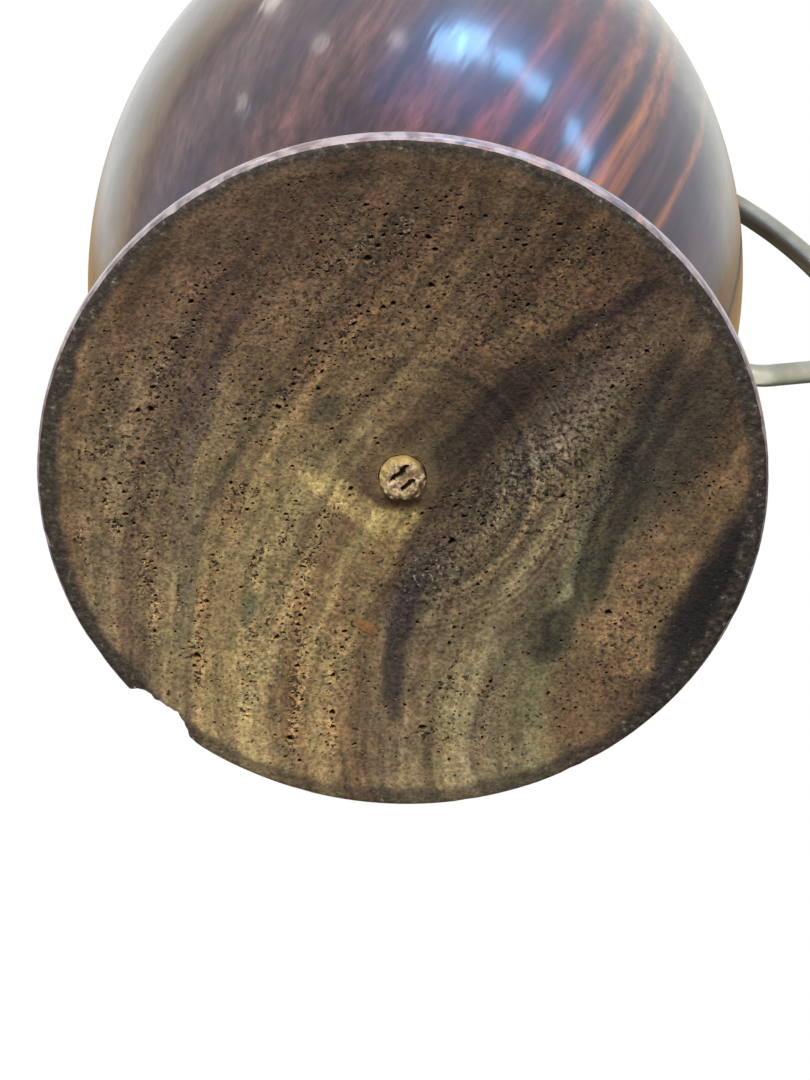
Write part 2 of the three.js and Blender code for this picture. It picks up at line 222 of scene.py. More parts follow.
floor_material, tree = new_material("pale studio floor")
place = add(tree, "TexCoord", out=3)
flat = add(tree, "VectorMath", {0: place, 1: (1, 1, 0)}, operation="MULTIPLY")
far = add(tree, "VectorMath", {0: flat}, out=1, operation="LENGTH")
near = add(tree, "MapRange", {0: far, 1: fade_start, 2: fade_end, 3: 1.0, 4: 0.0},
           interpolation_type="SMOOTHSTEP")
rays, seen = looking_rays(tree)
back = add(tree, "NewGeometry").node.outputs["Backfacing"]
front = add(tree, "Math", {0: 1.0, 1: back}, operation="SUBTRACT")
share = add(tree, "Math", {0: seen, 1: front}, operation="MULTIPLY")
share = add(tree, "Math", {0: share, 1: near}, operation="MULTIPLY")
paper = add(tree, "BsdfDiffuse", {"Color": "#d9d9d6"})
clear = add(tree, "BsdfTransparent")
mixed = add(tree, "MixShader", {0: share, 1: clear, 2: paper})
add(tree, "OutputMaterial", {"Surface": mixed})

floor_corners = [
    (x * floor_reach, y * floor_reach, -floor_drop) for x, y in ((-1, -1), (1, -1), (1, 1), (-1, 1))]
floor_mesh = bpy.data.meshes.new("studio_floor")
floor_mesh.from_pydata(floor_corners, [], [(0, 1, 2, 3)])
floor_mesh.materials.append(floor_material)
floor = bpy.data.objects.new("studio_floor", floor_mesh)
bpy.context.scene.collection.objects.link(floor)
floor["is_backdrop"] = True
print("the floor reaches", floor_reach, "m each way and fades out beyond", fade_start, "m")

# %% [markdown]
# ## The world: white to look at, softer as light
# The world is plain white for the camera and a softer light for everything that it lights.
# Glossy surfaces show the white backdrop too where they look straight past the jug, and a pale
# grey room elsewhere. A tan strip beside the backdrop at the left, tan low down and a dark floor
# give the belly its brown outline and the rod its dark side, as in the photograph.

# %% World
world = bpy.data.worlds.new("studio world")
world.use_nodes = True
tree = world.node_tree
tree.nodes.clear()
rays, seen = looking_rays(tree)
heading = add(tree, "TexCoord")
past = add(tree, "VectorMath", {0: heading, 1: -camera_back}, out=1, operation="DOT_PRODUCT")
leftward = add(tree, "VectorMath", {0: heading, 1: -camera_right}, out=1, operation="DOT_PRODUCT")
upward = add(tree, "VectorMath", {0: heading, 1: camera_up}, out=1, operation="DOT_PRODUCT")
left_room = add(tree, "ValToRGB", {0: past}, stops=[
    (0.66, "#ccccd8"), (0.74, "#6f6670"), (0.77, "#e2c8a4"),
    (0.82, "#eadbc4"), (0.87, "#f2f6f0"), (0.97, "#ffffff")])
right_room = add(tree, "ValToRGB", {0: past}, stops=[(0.8, "#ccccd8"), (0.9, "#f8fbf4")])
left_side = add(tree, "MapRange", {0: leftward, 1: 0.05, 2: 0.2, 3: 0.0, 4: 1.0})
seen_room = add(tree, "Mix", {0: left_side, 6: right_room, 7: left_room}, **colour_mix)
low = add(tree, "MapRange", {0: upward, 1: 0.16, 2: 0.09, 3: 0.0, 4: 1.0})
seen_room = add(tree, "Mix", {0: low, 6: seen_room, 7: "#c0a074"}, **colour_mix)
dark = add(tree, "MapRange", {0: upward, 1: 0.04, 2: -0.1, 3: 0.0, 4: 1.0}, interpolation_type="SMOOTHSTEP")
seen_room = add(tree, "Mix", {0: dark, 6: seen_room, 7: "#35372b"}, **colour_mix)
backdrop = add(tree, "Mix", {0: rays["Is Glossy Ray"], 6: "#ffffff", 7: seen_room}, **colour_mix)
soft = add(tree, "Background", {"Color": "#f4f6ff", "Strength": 0.36})
white = add(tree, "Background", {"Color": backdrop, "Strength": 1.0})
mixed = add(tree, "MixShader", {0: seen, 1: soft, 2: white})
add(tree, "OutputWorld", {"Surface": mixed})
bpy.context.scene.world = world
bpy.context.scene.view_settings.view_transform = "Standard"
print("world nodes:", len(tree.nodes))

# %% [markdown]
# ## Lamps
# A big softbox overhead lights the jug as it stands. The photograph was taken by daylight, and
# its windows mirror in the polished belly as a row of blue panes in a soft blue glow, beside a
# few small lamps. A reflection's place follows from a lamp's direction, so each one is given by
# its compass angle and height angle as seen from the belly. Two lamps under the floor light
# the underside: a soft fill, and a small bright one that rakes across the pits.

# %% Softboxes by place and brightness
watts_per_radiance = 6.6


def softbox(name, place, aim, width, height, brightness, colour, shape="RECTANGLE"):
    """An area lamp at place, turned to aim. Brightness is how bright its face looks."""
    lamp = bpy.data.lights.new(name, "AREA")
    lamp.shape = shape
    lamp.size = width
    lamp.size_y = height
    lamp.energy = brightness * watts_per_radiance * width * height
    lamp.color = linear(colour)[:3]
    lit = bpy.data.objects.new(name, lamp)
    bpy.context.scene.collection.objects.link(lit)
    lit.location = place
    lit.rotation_euler = (Vector(place) - Vector(aim)).to_track_quat("Z", "Y").to_euler()
    lit.visible_camera = False
    return lit


def around(azimuth, elevation, distance, centre):
    """A place at a compass angle and a height angle, seen from a centre."""
    a, e = math.radians(azimuth), math.radians(elevation)
    away = Vector((math.cos(e) * math.cos(a), math.cos(e) * math.sin(a), math.sin(e)))
    return Vector(centre) + away * distance


foot_centre = Vector((axis_x * MM, 0, 0))
belly_front = Vector((axis_x * MM, -0.05, 0.055))
overhead_height = 1.5
overhead_size = 1.5
overhead_place = foot_centre + Vector((0, 0, overhead_height))
overhead = softbox(
    "overhead softbox", overhead_place, foot_centre, overhead_size, overhead_size, 2.0, "#ffffff")
overhead.visible_glossy = False
print("overhead softbox", overhead_height, "m above the floor,", round(overhead.data.energy, 1), "W")

# %% Windows and small lamps that the belly mirrors
# Azimuth and elevation in degrees, width and height in metres.
window_panes = [
    (-86, 49.5, 0.12, 0.13), (-93, 48, 0.12, 0.13), (-75, 47.5, 0.11, 0.09),
    (-66.5, 45, 0.11, 0.08), (-54, 40, 0.07, 0.10), (-49, 37, 0.07, 0.10),
]
small_lamps = [(-108, 49, 0.07), (-131, 51, 0.06), (-154, 46, 0.05), (-153, 64, 0.07)]
glow_size = (1.2, 0.5)
glow_shares = (0.55, 0.7, 0.85, 1.0, 1.15)
pane_distance = 1.1
glow_distance = 1.3
small_lamp_distance = 1.2
pane_brightness = 5.5
glow_brightness = 0.34
small_lamp_brightness = 1.8

window_lamps = []
for azimuth, elevation, width, height in window_panes:
    pane = around(azimuth, elevation, pane_distance, belly_front)
    window_lamps.append(softbox(
        f"window pane {azimuth}", pane, belly_front, width, height, pane_brightness, "#8ccaff"))
glow_place = around(-78, 44, glow_distance, belly_front)
for share in glow_shares:
    window_lamps.append(softbox(
        f"window glow {share}", glow_place, belly_front, glow_size[0] * share, glow_size[1] * share,
        glow_brightness, "#5a8cff", "ELLIPSE"))
for azimuth, elevation, size in small_lamps:
    spot = around(azimuth, elevation, small_lamp_distance, belly_front)
    window_lamps.append(softbox(
        f"small lamp {azimuth}", spot, belly_front, size, size, small_lamp_brightness, "#fff6ec", "DISK"))
print("lamps that the belly mirrors:", len(window_lamps))

# %% Lamps under the floor
fill_size = 0.3
fill_brightness = 0.9
key_size = 0.12
key_brightness = 52.0

fill_place = foot_centre + from_picture(-0.10, -0.32, -0.30)
key_place = foot_centre + from_picture(-0.07, 0.50, -0.33)
fill = softbox("low fill", fill_place, foot_centre, fill_size, fill_size, fill_brightness, "#fff4e6")
fill.visible_glossy = False
key = softbox("low key", key_place, foot_centre, key_size, key_size, key_brightness, "#fffcf8")
print("low fill", round(fill.data.energy, 2), "W, low key", round(key.data.energy, 2), "W")

# %% [markdown]
# ## The wood's growth bands
# The jug is one block of rosewood-like timber. A tree grows in rings round its pith, so the
# stripes on every face are cuts through the same set of long cylinders. One field is shared
# by all wood on the body: the distance from the pith line, which lies 130 mm outside the jug
# on the handle's side and leans a little. Across the foot it draws arcs, and up the belly the
# same bands run as leaning stripes. Near the foot they bend away from plain circles, steeper at
# the picture's left and lower edge, and noise makes them waver as real growth does.

# %% Distance from the pith, in mm
pith_at_floor = (121.4, 48.3, 0.0)
pith_lean = Vector((0.258, -0.158, 1.0)).normalized()
grain_stretch = 0.08
fibre_stretch = 0.015
picture_right = from_picture(1, 0, 0)
picture_up = from_picture(0, 1, 0)
bend_reach = 50.0
bend_wide = -20.5
bend_tall = -6.6
bend_low = 4.0
bend_top = 22.0
slow_wave = 30
quick_wave = 5
wave_swing = 3.0


def growth_field(tree):
    """Sockets for the place in mm and for where it lies between the growth bands."""
    metres = add(tree, "TexCoord", out=3)
    place = add(tree, "VectorMath", {0: metres, 1: (1000, 1000, 1000), 2: (-axis_x, 0, 0)},
                operation="MULTIPLY_ADD")
    from_pith = add(tree, "VectorMath", {0: place, 1: pith_at_floor}, operation="SUBTRACT")
    along = add(tree, "VectorMath", {0: from_pith, 1: pith_lean}, out=1, operation="DOT_PRODUCT")
    lean = add(tree, "CombineXYZ", {0: pith_lean[0], 1: pith_lean[1], 2: pith_lean[2]})
    lengthwise = add(tree, "VectorMath", {0: lean, "Scale": along}, operation="SCALE")
    across = add(tree, "VectorMath", {0: from_pith, 1: lengthwise}, operation="SUBTRACT")
    distance = add(tree, "VectorMath", {0: across}, out=1, operation="LENGTH")

    # Noise made from these two runs lengthwise: short strokes for grain, long ones for fibres.
    short = add(tree, "VectorMath", {0: lengthwise, "Scale": grain_stretch}, operation="SCALE")
    grain = add(tree, "VectorMath", {0: across, 1: short}, operation="ADD")
    fibre = add(tree, "VectorMath", {0: lengthwise, 1: (fibre_stretch,) * 3, 2: across},
                operation="MULTIPLY_ADD")

    # The bend near the foot, which fades out up the belly.
    right = add(tree, "VectorMath", {0: place, 1: picture_right / bend_reach}, out=1, operation="DOT_PRODUCT")
    up = add(tree, "VectorMath", {0: place, 1: picture_up / bend_reach}, out=1, operation="DOT_PRODUCT")
    wide = add(tree, "Math", {0: right, 1: right}, operation="MULTIPLY")
    wide = add(tree, "Math", {0: wide, 1: bend_wide}, operation="MULTIPLY")
    tall = add(tree, "Math", {0: up, 1: up}, operation="MULTIPLY")
    bend = add(tree, "Math", {0: tall, 1: bend_tall, 2: wide}, operation="MULTIPLY_ADD")
    bend = add(tree, "Math", {0: bend, 1: up}, operation="MULTIPLY")
    height = add(tree, "SeparateXYZ", {0: place}, out=2)
    fade = add(tree, "MapRange", {0: height, 1: bend_low, 2: bend_top, 3: 1.0, 4: 0.0},
               interpolation_type="SMOOTHSTEP")
    band = add(tree, "Math", {0: bend, 1: fade, 2: distance}, operation="MULTIPLY_ADD")

    slow = add(tree, "TexNoise", {"Vector": grain, "Scale": 1 / slow_wave, "Detail": 2.0})
    quick = add(tree, "TexNoise", {"Vector": grain, "Scale": 1 / quick_wave, "Detail": 4.0, "Roughness": 0.6})
    for wave in (slow, quick):
        wave = add(tree, "Math", {0: wave, 1: 0.5}, operation="SUBTRACT")
        band = add(tree, "Math", {0: wave, 1: wave_swing, 2: band}, operation="MULTIPLY_ADD")
    up = add(tree, "Math", {0: up, 1: bend_reach}, operation="MULTIPLY")
    return {"place": place, "grain": grain, "fibre": fibre, "band": band, "height": height, "up": up}


print("pith line", round(Vector(pith_at_floor).length, 1), "mm from the turning axis at the floor")

# %% Colour ramps along the bands
band_start, band_end = 60.0, 200.0


def band_stops(colours):
    """Ramp stops from distances in mm to places from 0 to 1 along the ramp."""
    return [((at - band_start) / (band_end - band_start), colour) for at, colour in colours]


print("ramps run from", band_start, "to", band_end, "mm from the pith")

# %% [markdown]
# ## Polished rosewood
# The outside was turned, sanded and polished: dark purple-brown heartwood with thin orange
# streaks where growth was quick. Polish gives it a clear, slightly soft reflection, and the
# long open pores show as fine dark dashes that run up the jug. The colours are a ramp along
# the growth bands, listed by their distance from the pith. Fibres as fine as real ones, about
# 0.02 mm, wouldn't show, so the streaks are drawn 1 to 3 mm wide.

# %% Rosewood, cut along its grain
polished_bands = band_stops([
    (62, "#2c1b1a"), (74, "#3c251d"), (87, "#5d3624"), (93, "#332122"),
    (101, "#523124"), (108, "#2a1c1d"), (114, "#4a3129"), (119, "#302123"), (122.9, "#372324"),
    (123.8, "#9e613c"), (124.7, "#3a2424"), (127.3, "#2e2023"), (128.6, "#4b3835"), (131, "#271a1e"),
    (133.4, "#8f5535"), (134.4, "#543129"), (135.7, "#a5653c"), (137.0, "#332122"), (138.6, "#2a1b20"),
    (140.6, "#935a3a"), (142.0, "#673b30"), (143.6, "#2f1e20"), (147.8, "#7a4132"), (149.8, "#2e1f26"),
    (154, "#6a3832"), (156.5, "#2a1c23"), (162, "#5a3634"), (168, "#2c2027"), (176, "#553a35"),
    (182, "#2e2228"), (188, "#523a36"), (194, "#3a2a2e"),
])
streak_width = 2.8
thin_streak_width = 1.1
pore_width = 0.3
rim_patch_width = 2.2
smear_width = 14
ripple_width = 2.5
pale_rim_top = 4.3
pale_rim_bottom = 3.4


def finish_wood(name, bands, roughness, coat, coat_roughness, edge_wear_and_sheen):
    """Rosewood cut along its grain: bands, fibres and open pores under a given polish."""
    material, tree = new_material(name)
    field = growth_field(tree)
    share = add(tree, "MapRange", {0: field["band"], 1: band_start, 2: band_end, 3: 0.0, 4: 1.0})
    colour = add(tree, "ValToRGB", {0: share}, stops=bands)

    # Streaks along the fibres, in two widths.
    broad = add(tree, "TexNoise", {"Vector": field["fibre"], "Scale": 1 / streak_width, "Detail": 3.0})
    streak = add(tree, "TexNoise", {
        "Vector": field["fibre"], "Scale": 1 / thin_streak_width, "Detail": 4.0, "Roughness": 0.6})
    for pattern in (broad, streak):
        tone = add(tree, "MapRange", {0: pattern, 1: 0.32, 2: 0.68, 3: 0.55, 4: 1.45})
        colour = add(tree, "VectorMath", {0: colour, "Scale": tone}, operation="SCALE")

    # Open pores, darker than the wood.
    pores = add(tree, "TexNoise", {"Vector": field["grain"], "Scale": 1 / pore_width, "Detail": 1.0})
    pore = add(tree, "MapRange", {0: pores, 1: 0.66, 2: 0.76, 3: 0.0, 4: 0.45})
    colour = add(tree, "Mix", {0: pore, 6: colour, 7: "#1d1211"}, **colour_mix)

    # The foot's edge is pale, partly rubbed by being set down and partly a painted sheen along it.
    # Partly painted sheen: the pale band stands in for part of the bright line of light along the edge.
    worn = add(tree, "MapRange", {0: field["height"], 1: pale_rim_top, 2: pale_rim_bottom, 3: 0.0, 4: edge_wear_and_sheen})
    rubbed = add(tree, "TexNoise", {"Vector": field["place"], "Scale": 1 / rim_patch_width, "Detail": 3.0})
    rubbed = add(tree, "MapRange", {0: rubbed, 1: 0.38, 2: 0.6, 3: 0.35, 4: 1.0})
    worn = add(tree, "Math", {0: worn, 1: rubbed}, operation="MULTIPLY")
    colour = add(tree, "Mix", {0: worn, 6: colour, 7: "#b5a9ad"}, **colour_mix)

    # Polish: cloudy where hands smeared it, a coat that ripples a little, pores sunk in the wood.
    smear = add(tree, "TexNoise", {"Vector": field["place"], "Scale": 1 / smear_width, "Detail": 4.0})
    dull = add(tree, "MapRange", {0: smear, 1: 0.3, 2: 0.75, 3: roughness - 0.05, 4: roughness + 0.1})
    deep = add(tree, "Math", {0: pore, 1: -0.6, 2: streak}, operation="MULTIPLY_ADD")
    bump = add(tree, "Bump", {"Height": deep, "Distance": 0.05 * MM, "Strength": 0.5})
    ripple = add(tree, "TexNoise", {"Vector": field["grain"], "Scale": 1 / ripple_width, "Detail": 2.0})
    ripple = add(tree, "Bump", {"Height": ripple, "Distance": 0.12 * MM, "Strength": 0.4})
    skin = add(tree, "BsdfPrincipled", {
        "Base Color": colour, "Roughness": dull, "Normal": bump, "IOR": 1.5, "Coat Normal": ripple,
        "Coat Weight": coat, "Coat Roughness": coat_roughness, "Coat IOR": 1.5, "Specular IOR Level": 0.35})
    add(tree, "OutputMaterial", {"Surface": skin})
    print(name, "has", len(tree.nodes), "nodes")
    return material


polished_wood = finish_wood("polished rosewood", polished_bands, 0.34, 0.85, 0.13, 0.8)
inside_wood = finish_wood("oiled rosewood inside", polished_bands, 0.5, 0.0, 0.3, 0.0)

# %% [markdown]
# ## Bare end grain
# The underside was never polished. Its growth bands are cut straight across, so they show as
# arcs, weathered to olive brown and tan, with a dark heart at one side. Dirt, oil and damp
# left stains and streaks that mostly follow the bands. They could be painted on, but then they
# would only fit this one foot. So each is a soft long spot, given by its place between the
# bands and up the picture, and a loop mixes them in.

# %% Colours and stains of the underside
end_grain_bands = band_stops([
    (66, "#19171b"), (84, "#1c191e"), (88.3, "#2a2426"), (89.8, "#6d573c"), (93.5, "#7c6247"),
    (96.3, "#6a5840"), (98.5, "#5f573f"), (101, "#6b6047"), (103.4, "#675b46"), (106, "#7e7056"),
    (109, "#726449"), (114, "#6c5d47"), (118, "#5e4f3d"), (122, "#705c41"), (126, "#7c6849"),
    (131, "#7d6a49"), (135, "#715f44"), (140, "#7a6a4b"), (145, "#766547"), (149, "#7f6b4b"),
    (152, "#64573f"), (155.5, "#76654a"), (158.5, "#6b5b44"), (161, "#5b4b39"), (165, "#72624a"),
    (169, "#66553f"), (173, "#715d43"), (178, "#52432f"), (188, "#463a2c"),
])

# Name, middle along the bands and up the picture, half sizes, lean, colour, strength.
stains = [
    ("dark streak below the plug", 117.6, -27, 1.5, 13, 0.15, "#231e20", 0.95),
    ("dark streak's purple top", 119.3, -17, 3.2, 8, 0.1, "#2f2629", 0.75),
    ("dark patch above the plug", 124.8, 11, 2.8, 9, 0.05, "#1b151a", 1.0),
    ("purple streak towards the rim", 121.0, 29, 1.7, 6, -0.7, "#2f2428", 0.9),
    ("brown shade above the plug", 124.0, 7, 8.5, 16, 0.0, "#35271f", 0.85),
    ("grey haze", 115.8, 12, 3.2, 10, 0.0, "#847c70", 0.35),
    ("green-black strand", 103.9, 2, 1.1, 20, 0.25, "#22221b", 0.95),
    ("green-black strand beside it", 100.4, -1, 1.0, 17, 0.2, "#20211b", 0.95),
    ("grey-green stripe", 102.2, -9, 0.6, 14, 0.22, "#6d6c55", 0.7),
    ("green-black knot", 99.7, -24.5, 2.0, 4.5, 0.0, "#1e201a", 0.95),
    ("dark shade at the right", 103.0, 10, 5.5, 14, 0.2, "#322d27", 0.75),
    ("pale line", 116.3, 21, 1.0, 11, 0.0, "#83745f", 0.4),
    ("near-black heart's edge", 87.6, -12, 1.8, 12, 0.0, "#191518", 1.0),
    ("near-black heart's lower end", 88.6, -38, 2.8, 8, 0.0, "#1b1617", 1.0),
    ("brown end of the right band", 93.6, -37, 3.6, 9, 0.0, "#4a3727", 0.75),
    ("yellow oil beside the plug", 134.0, -4.5, 2.8, 4.6, 1.5, "#b5a06c", 0.8),
    ("yellow oil below the plug", 126.2, -8.5, 2.2, 3.6, 0.0, "#aa925c", 0.7),
    ("dark line at the left", 156.9, 0, 0.9, 15, 0.12, "#463c3a", 0.7),
    ("grey stripe at the left", 152.8, -16, 1.4, 13, 0.05, "#544d42", 0.45),
    ("purple line at the left", 160.0, 14, 0.7, 13, 0.0, "#3f3335", 0.7),
    ("purple line at the top left", 163.2, 26, 0.7, 13, 0.0, "#463a36", 0.65),
    ("olive spot", 144.8, 10.4, 1.8, 2.4, 0.0, "#3d4032", 0.75),
    ("small olive spot", 141.5, -23.4, 0.8, 2.6, 0.0, "#3d4335", 0.8),
    ("golden crumbs", 134.0, -22, 1.9, 8, 0.1, "#87663f", 0.15),
    ("golden crumbs below", 131.0, -38, 1.6, 8, 0.1, "#87663f", 0.2),
    ("golden crumbs by the chip", 149.2, -31, 1.3, 7, 0.0, "#8a6f4c", 0.15),
]


def stain_mask(tree, field, middle, height, half_width, half_height, lean, strength):
    """How strong a stain is at a point: a soft long spot between the bands."""
    off = add(tree, "Math", {0: field["up"], 1: height}, operation="SUBTRACT")
    centre = add(tree, "Math", {0: off, 1: -lean, 2: field["band"]}, operation="MULTIPLY_ADD")
    side = add(tree, "Math", {0: centre, 1: middle}, operation="SUBTRACT")
    side = add(tree, "Math", {0: side, 1: half_width}, operation="DIVIDE")
    side = add(tree, "Math", {0: side, 1: side}, operation="MULTIPLY")
    off = add(tree, "Math", {0: off, 1: half_height}, operation="DIVIDE")
    off = add(tree, "Math", {0: off, 1: off}, operation="MULTIPLY")
    off = add(tree, "Math", {0: off, 1: off, 2: side}, operation="MULTIPLY_ADD")
    return add(tree, "MapRange", {0: off, 1: 2.4, 2: 0.1, 3: 0.0, 4: strength},
               interpolation_type="SMOOTHSTEP")


print("stains on the underside:", len(stains))

# %% Patterns that the end grain is made of
# Growth lines are thin, long and of uneven strength. Ribbons are broader and shift between
# purple and olive. Coarse dirt and grit are finer, and lichen and clouds wider. Sizes are in mm.
line_stretch = 0.05
growth_width = 1.5
ribbon_width = 4.5
coarse_width = 1.9
grit_width = 0.6
lichen_width = 5
cloud_width = 9

end_grain, tree = new_material("bare rosewood end grain")
field = growth_field(tree)
place = field["place"]
lines = add(tree, "Math", {0: field["up"], 1: line_stretch}, operation="MULTIPLY")
lines = add(tree, "CombineXYZ", {0: field["band"], 1: lines})
growth = add(tree, "TexNoise", {"Vector": lines, "Scale": 1 / growth_width, "Detail": 3.0, "Roughness": 0.6})
ribbon = add(tree, "TexNoise", {"Vector": lines, "Scale": 1 / ribbon_width, "Detail": 2.0, "Roughness": 0.5})
coarse = add(tree, "TexNoise", {"Vector": place, "Scale": 1 / coarse_width, "Detail": 2.0, "Roughness": 0.6})
grit = add(tree, "TexNoise", {"Vector": place, "Scale": 1 / grit_width, "Detail": 2.0, "Roughness": 0.6})
lichen = add(tree, "TexNoise", {"Vector": place, "Scale": 1 / lichen_width, "Detail": 4.0, "Roughness": 0.6})
cloud = add(tree, "TexNoise", {"Vector": place, "Scale": 1 / cloud_width, "Detail": 5.0, "Roughness": 0.65})
rightward = add(tree, "VectorMath", {0: place, 1: picture_right}, out=1, operation="DOT_PRODUCT")
print("nodes of the field and its patterns:", len(tree.nodes))

# %% Bands and stains
# Stains soak in unevenly: the growth lines and the coarse dirt break up their edges.
broken = add(tree, "Math", {0: coarse, 1: 0.6, 2: growth}, operation="MULTIPLY_ADD")
broken = add(tree, "MapRange", {0: broken, 1: 0.62, 2: 0.88, 3: 0.5, 4: 1.0})
share = add(tree, "MapRange", {0: field["band"], 1: band_start, 2: band_end, 3: 0.0, 4: 1.0})
colour = add(tree, "ValToRGB", {0: share}, stops=end_grain_bands)
for _, middle, height, half_width, half_height, lean, shade, strength in stains:
    mask = stain_mask(tree, field, middle, height, half_width, half_height, lean, strength)
    mask = add(tree, "Math", {0: mask, 1: broken}, operation="MULTIPLY")
    colour = add(tree, "Mix", {0: mask, 6: colour, 7: shade}, **colour_mix)
print("nodes after the stains:", len(tree.nodes))

# %% [markdown]
# ## Tone and light across the foot
# The foot is lighter and yellower at the lower left of the picture and browner and darker at the
# top and right, partly its own tone and partly painted light and shade. Ribbons of purple and olive
# follow the bands, a thin growth of lichen tints it in patches, and each growth line is a little lighter or
# darker.

# %% Shades across the foot and tints
# Lighter towards the picture's lower left and darker towards the top and right: partly the wood's own tone,
# partly painted light and shade.
shades = [(field["up"], -48.0, 42.0, 1.76, 0.59), (rightward, -16.0, 14.0, 1.04, 0.78)]
for across, start, end, light, dim in shades:
    tone = add(tree, "MapRange", {0: across, 1: start, 2: end, 3: light, 4: dim})
    colour = add(tree, "VectorMath", {0: colour, "Scale": tone}, operation="SCALE")
warmth = add(tree, "MapRange", {0: field["up"], 1: 0.0, 2: 30.0, 3: 0.0, 4: 1.0})
colour = add(tree, "Mix", {0: warmth, 6: colour, 7: "#ffe9ee"}, **colour_product)
tints = [
    (ribbon, [(0.34, "#c3bdbe"), (0.5, "#e5e8e6"), (0.66, "#f5f9f5")]),
    (lichen, [(0.38, "#f9f2e9"), (0.5, "#f4f1ea"), (0.62, "#e6ece3")]),
]
for pattern, stops in tints:
    tint = add(tree, "ValToRGB", {0: pattern}, stops=stops)
    colour = add(tree, "Mix", {0: 1.0, 6: colour, 7: tint}, **colour_product)
print("nodes after the tints:", len(tree.nodes))

# %% Growth lines and dirt
# Cloudy dirt, coarse dirt and grit, in patches of about 9 mm, 2 mm and 0.6 mm. Where open
# vessels crowd together, the mesh's rough_zone attribute makes the grit stronger.
rough_mask = add(tree, "Attribute", out=2, attribute_name="rough_zone")
grit_low = add(tree, "MapRange", {0: rough_mask, 1: 0.0, 2: 1.0, 3: 0.66, 4: 0.26})
grit_high = add(tree, "MapRange", {0: rough_mask, 1: 0.0, 2: 1.0, 3: 1.38, 4: 2.1})
tones = [
    (growth, 0.32, 0.68, 0.66, 1.36), (cloud, 0.35, 0.65, 0.78, 1.22),
    (coarse, 0.35, 0.65, 0.82, 1.2), (grit, 0.34, 0.66, grit_low, grit_high),
]
for pattern, start, end, dim, light in tones:
    tone = add(tree, "MapRange", {0: pattern, 1: start, 2: end, 3: dim, 4: light})
    colour = add(tree, "VectorMath", {0: colour, "Scale": tone}, operation="SCALE")
print("nodes after the dirt:", len(tree.nodes))

# %% [markdown]
# ## Specks, dust and pits
# Dark specks are vessels too small to be modelled. Pale specks are dust and lime caught in the
# rough places, golden at the picture's lower left and grey elsewhere. The pits are real craters
# in the mesh, which carries an attribute for how deep a point lies in one: their walls take
# the dust's colour, and their bottoms are painted nearly black as shade.

# %% Specks, dust and the insides of pits
speck_width = 0.8
dust_width = 0.65
dust_shift = (40.0, 9.0, 5.0)

speck = add(tree, "TexNoise", {"Vector": place, "Scale": 1 / speck_width, "Detail": 1.0})
speck_limit = add(tree, "MapRange", {0: rough_mask, 1: 0.0, 2: 1.0, 3: 0.7, 4: 0.52})
speck = add(tree, "Math", {0: speck, 1: speck_limit}, operation="SUBTRACT")
speck = add(tree, "MapRange", {0: speck, 1: 0.0, 2: 0.04, 3: 0.0, 4: 0.85})
colour = add(tree, "Mix", {0: speck, 6: colour, 7: "#1a130f"}, **colour_mix)

golden = add(tree, "MapRange", {0: rightward, 1: 8.0, 2: -8.0, 3: 0.0, 4: 1.0})
golden_low = add(tree, "MapRange", {0: field["up"], 1: 14.0, 2: -14.0, 3: 0.2, 4: 1.0})
golden = add(tree, "Math", {0: golden, 1: golden_low}, operation="MULTIPLY")
far_place = add(tree, "VectorMath", {0: place, 1: dust_shift}, operation="ADD")
dust = add(tree, "TexNoise", {"Vector": far_place, "Scale": 1 / dust_width, "Detail": 2.0, "Roughness": 0.7})
dust_limit = add(tree, "MapRange", {0: rough_mask, 1: 0.0, 2: 1.0, 3: 0.76, 4: 0.54})
dust = add(tree, "Math", {0: dust, 1: dust_limit}, operation="SUBTRACT")
dust_most = add(tree, "MapRange", {0: golden, 1: 0.0, 2: 1.0, 3: 0.5, 4: 0.85})
dust = add(tree, "MapRange", {0: dust, 1: 0.0, 2: 0.08, 3: 0.0, 4: dust_most})
dust_colour = add(tree, "Mix", {0: golden, 6: "#a0937f", 7: "#c8a873"}, **colour_mix)
colour = add(tree, "Mix", {0: dust, 6: colour, 7: dust_colour}, **colour_mix)

pit = add(tree, "Attribute", out=2, attribute_name="pit")
pit_wall = add(tree, "Mix", {0: golden, 6: "#5d4a38", 7: "#a38152"}, **colour_mix)
# Painted shade: the deeper part of each pit is painted nearly black.
pit_bottom_shade = add(tree, "MapRange", {0: pit, 1: 0.4, 2: 0.85, 3: 0.0, 4: 1.0})
pit_shade = add(tree, "Mix", {0: pit_bottom_shade, 6: pit_wall, 7: "#140e0b"}, **colour_mix)
inside_pit = add(tree, "MapRange", {0: pit, 1: 0.0, 2: 0.1, 3: 0.0, 4: 0.9})
colour = add(tree, "Mix", {0: inside_pit, 6: colour, 7: pit_shade}, **colour_mix)
print("nodes after the pits:", len(tree.nodes))

# %% [markdown]
# ## Rings and marks round the plug
# The lathe left fine rings round the middle, clearest at the right, about 22 mm out. Yellow oil
# soaked in around the plug, a painted shadow darkens the surface under its overhang, and a smooth
# flake of polished wood is stuck to the surface below it. The flake is real geometry too.

# %% Turning rings
ring_width = 1.8
ring_swing = 0.16

